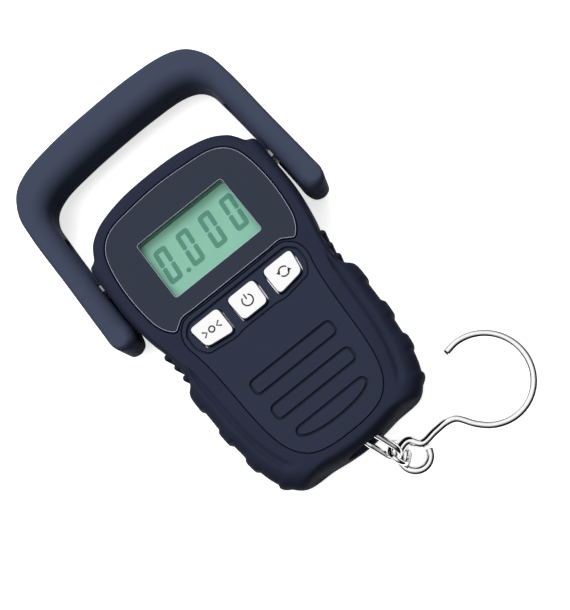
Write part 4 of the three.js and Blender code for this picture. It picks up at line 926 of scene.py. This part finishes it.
# Handle: two shells of ABS screwed together from the back, with a parting line all the way
# round. Channels inside its arms take the pins, so that it slides and swings. The heights
# here are above the pins.
handle_inner, handle_arm, handle_outer = 38.0, 8.7, 46.7
handle_top, grip_underside, handle_foot, handle_depth = 56.38, 42.9, -23.5, 17.0
outer_round, outer_height, inner_round, inner_height = 1.8, 2.0, 5.8, 5.2
foot_fade, foot_round_share = 9, 0.55
handle_cock = np.radians(1.9)
slot_low, slot_high, slot_half_width, slot_depth = -16.7, 26.5, 3.85, 4.6
handle_screws = [(42.4, -19.9), (-42.4, -19.9), (33.0, 48.1), (-33.0, 48.1)]
handle_screw_length, handle_head_seat = 9.0, 4.2
outside_shares = [
    (0, 0), (0.42, 0.008), (0.72, 0.038), (0.86, 0.085), (0.955, 0.18), (0.982, 0.3), (0.99, 0.6)]
outer_foot_shares = [(0, 1.18), (0.011, 0.454), (0.16, 0.127)]
inner_foot_shares = [(0.5, 0), (0.14, 0.127), (0, 0.454), (0, 1.18)]
inside_shares = [(0.985, 0.2), (0.965, 0.11), (0.89, 0.055), (0.74, 0.022), (0.42, 0.005), (0, 0)]
inner_arm_share = 0.4


def handle_outline(steps=12):
    """The U's loop, anticlockwise, and for each point how much it belongs to the inside."""
    rise = handle_top - handle_foot
    outside = np.vstack([
        np.array(outside_shares) * (handle_outer, -rise) + (0, handle_top),
        np.array(outer_foot_shares) * (-handle_arm, handle_arm) + (handle_outer, handle_foot)])
    inside = np.vstack([
        np.array(inner_foot_shares) * handle_arm + (handle_inner, handle_foot),
        [(handle_inner, handle_foot + inner_arm_share * rise)],
        np.array(inside_shares) * (handle_inner, -rise) + (0, grip_underside)])
    right = np.vstack([outside, inside])
    left = right[-2:0:-1] * (-1, 1)
    loop = curve_through(np.vstack([right, left]), steps)
    place, first = np.arange(len(loop)), len(outside) * steps
    inner = ((place >= first) & (place <= len(loop) - first)).astype(float)
    spread, wrap = np.ones(3 * steps) / (3 * steps), 40
    inner = np.convolve(np.r_[inner[-wrap:], inner, inner[:wrap]], spread, "same")[wrap:-wrap]
    return loop[::-1], inner[::-1]


def handle_half(sign):
    """One shell: straight sides from the parting line, then a quarter of an ellipse, small on
    the outside and wide on the inside, in the frame of the pins."""
    loop, inner = handle_outline()
    draw = outer_round + (inner_round - outer_round) * inner
    draw *= np.clip((loop[:, 1] - handle_foot) / foot_fade, foot_round_share, 1)
    fall = outer_height + (inner_height - outer_height) * inner
    rings = [at_height(loop, sign * parting_gap / 2)]
    for a in np.linspace(0, np.pi / 2, 12):
        z = sign * (handle_depth / 2 - fall * (1 - np.sin(a)))
        rings.append(np.column_stack([inset(loop, draw * (1 - np.cos(a))), z]))
    return solid(rings if sign > 0 else rings[::-1])


def in_place(parts):
    """From the frame of the pins to the object's: cocked about Z, then moved to the pins."""
    c, s = np.cos(handle_cock), np.sin(handle_cock)
    spin = np.array([(c, s, 0), (-s, c, 0), (0, 0, 1)])
    return [(points @ spin + (0, pin_height, parting), faces) for points, faces in parts]


slot_loop = np.vstack([arc(slot_half_width, 0, 180, 0, slot_high - slot_half_width),
                       arc(slot_half_width, 180, 360, 0, slot_low + slot_half_width)])
slot_reach = handle_inner + slot_depth
pin_slots = [(points[:, [2, 1, 0]] * (1, 1, -1), faces) for points, faces in prism(
    slot_loop, -slot_reach, slot_reach)]
handle_plastic = moulded_plastic(
    "spark-eroded ABS, handle", "#40475a", roughness=0.45, specular=0.12,
    grain_mm=0.35, grain_strength=0.12)
for label, sign in (("front", 1), ("rear", -1)):
    head_end = handle_head_seat - handle_depth / 2
    if sign > 0:
        screw_end = handle_screw_length + head_end + seat_gap
        holes = posts(handle_screws, screw_hole_radius, -overlap, screw_end)
    else:
        holes = posts(handle_screws, screw_hole_radius, -handle_depth, overlap)
        holes += posts(handle_screws, head_hole_radius, -handle_depth, head_end)
    shell = piece_of(
        f"moulded_handle_{label}", "handle", handle_plastic, in_place(handle_half(sign)),
        cut=[in_place(pin_slots), *[in_place(hole) for hole in holes]])
    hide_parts(f"handle_{label}_shell")


# Pins, screws and the parts inside: turned steel pins, zinc plated screws, nickel plated contacts,
# a milled beam, a glass epoxy board and a rubber keypad. They all keep the frame's shape.
def grained_metal(name, base, roughness, line_mm, direction, strength):
    """A cut metal surface: parallel tool lines a fixed distance apart, broken up by noise."""
    material, tree = empty_material(name)
    place = add_node(tree, "ShaderNodeTexCoord").outputs["Object"]
    lines = add_node(tree, "ShaderNodeTexWave", {
        "Vector": place, "Scale": 1000 / line_mm / (2 * np.pi), "Distortion": 1.5, "Detail": 2.0,
        "Detail Scale": 2.0}, bands_direction=direction)
    polish = uneven(tree, noise(tree, 2.5, 3.0), roughness, 0.25)
    bump = add_node(tree, "ShaderNodeBump", {
        "Height": lines.outputs["Fac"], "Strength": strength, "Distance": line_mm / 1000})
    return finish_material(material, tree, {
        "Base Color": colour(base), "Metallic": 1.0, "Roughness": polish,
        "Normal": bump.outputs[0]})


zinc_steel = grained_metal("zinc plated steel", "#b4b8bb", 0.32, 0.4, "Z", 0.05)
turned_steel = grained_metal("turned steel", "#a9acb0", 0.28, 0.3, "X", 0.08)
spring_steel = grained_metal("nickel plated spring steel", "#c3c2ba", 0.25, 0.5, "Y", 0.04)
milled_aluminium = grained_metal("milled aluminium", "#c6c8ca", 0.38, 0.5, "X", 0.12)
for name in nodes:
    if "screw" in name or name == "load_nut":
        finish_node(name, zinc_steel)
    elif name.startswith("handle_pin"):
        finish_node(name, turned_steel)
    elif name.startswith("contact"):
        finish_node(name, spring_steel)
finish_node("load_beam", milled_aluminium)
finish_node("load_eye", wire_chrome)


def two_tone(name, first, second, pattern, inputs, roughness, limits=(0.45, 0.55), **settings):
    """Two colours divided by a pattern that keeps its size on the piece."""
    material, tree = empty_material(name)
    place = add_node(tree, "ShaderNodeTexCoord").outputs["Object"]
    drawn = add_node(tree, pattern, {"Vector": place, **inputs}, **settings)
    share = add_node(tree, "ShaderNodeMapRange", {
        "Value": drawn.outputs["Fac" if "Fac" in drawn.outputs else "Distance"],
        "From Min": limits[0], "From Max": limits[1]})
    tint = blend(tree, share.outputs[0], colour(first), colour(second))
    bump = add_node(tree, "ShaderNodeBump", {
        "Height": share.outputs[0], "Strength": 0.1, "Distance": 0.00005})
    return finish_material(material, tree, {
        "Base Color": tint, "Roughness": roughness, "Normal": bump.outputs[0]})


finish_node("circuit_board", two_tone(
    "glass epoxy board with traces", "#1f6b3e", "#2f8452", "ShaderNodeTexBrick",
    {"Scale": 1000 / 12, "Mortar Size": 0.03}, 0.4))
finish_node("controller_chip", lacquer("black epoxy drop", "#15161a", 0.25))
finish_node("backlight", two_tone(
    "dotted light guide", "#c9f2dc", "#eafbf2", "ShaderNodeTexVoronoi",
    {"Scale": 1000 / 1.2, "Randomness": 0.0}, 0.4, limits=(0.25, 0.35)))
finish_node("display_connector", two_tone(
    "striped rubber connector", "#15161a", "#b9b6ae", "ShaderNodeTexWave",
    {"Scale": 1000 / 0.6 / (2 * np.pi)}, 0.7, bands_direction="X"))
finish_node("keypad", two_tone(
    "grey silicone rubber", "#868a91", "#90949b", "ShaderNodeTexNoise",
    {"Scale": 1000 / 0.8, "Detail": 2.0}, 0.75, limits=(0.35, 0.65)))
for side in ("left", "right"):
    finish_node(f"strain_gauge_{side}", two_tone(
        "silicone over foil gauge", "#d9d4c4", "#c9c2ac", "ShaderNodeTexNoise",
        {"Scale": 1000 / 1.5, "Detail": 2.0}, 0.5, limits=(0.3, 0.7)))


# Cells: two zinc-carbon AAA cells in a printed sleeve, dark with a copper coloured shoulder
# towards the plus end and bare nickelled steel at both ends.
cell_half_length = 0.0225


def cell_sleeve(name, plus_side):
    """Colour by the place along the cell: sleeve, shoulder band, bare ends."""
    material, tree = empty_material(name)
    place = add_node(tree, "ShaderNodeTexCoord").outputs["Object"]
    x = add_node(tree, "ShaderNodeSeparateXYZ", {"Vector": place}).outputs["X"]
    share = add_node(tree, "ShaderNodeMapRange", {
        "Value": x, "From Min": -plus_side * cell_half_length,
        "From Max": plus_side * cell_half_length})
    ramp = add_node(tree, "ShaderNodeValToRGB", {"Fac": share.outputs[0]})
    ramp.color_ramp.interpolation = "CONSTANT"
    steps = ((0, "#b9babb"), (0.03, "#3c4250"), (0.74, "#b0774a"), (0.95, "#b9babb"))
    for spot, code in steps[2:]:
        ramp.color_ramp.elements.new(spot)
    for element, (spot, code) in zip(ramp.color_ramp.elements, steps):
        element.position, element.color = spot, colour(code)
    polish = add_node(tree, "ShaderNodeMapRange", {
        "Value": noise(tree, 2.0, 2.0), "To Min": 0.22, "To Max": 0.42})
    return finish_material(material, tree, {
        "Base Color": ramp.outputs["Color"], "Metallic": 0.4, "Roughness": polish.outputs[0]})


finish_node("battery_upper", cell_sleeve("cell sleeve, plus to the right", 1))
finish_node("battery_lower", cell_sleeve("cell sleeve, plus to the left", -1))
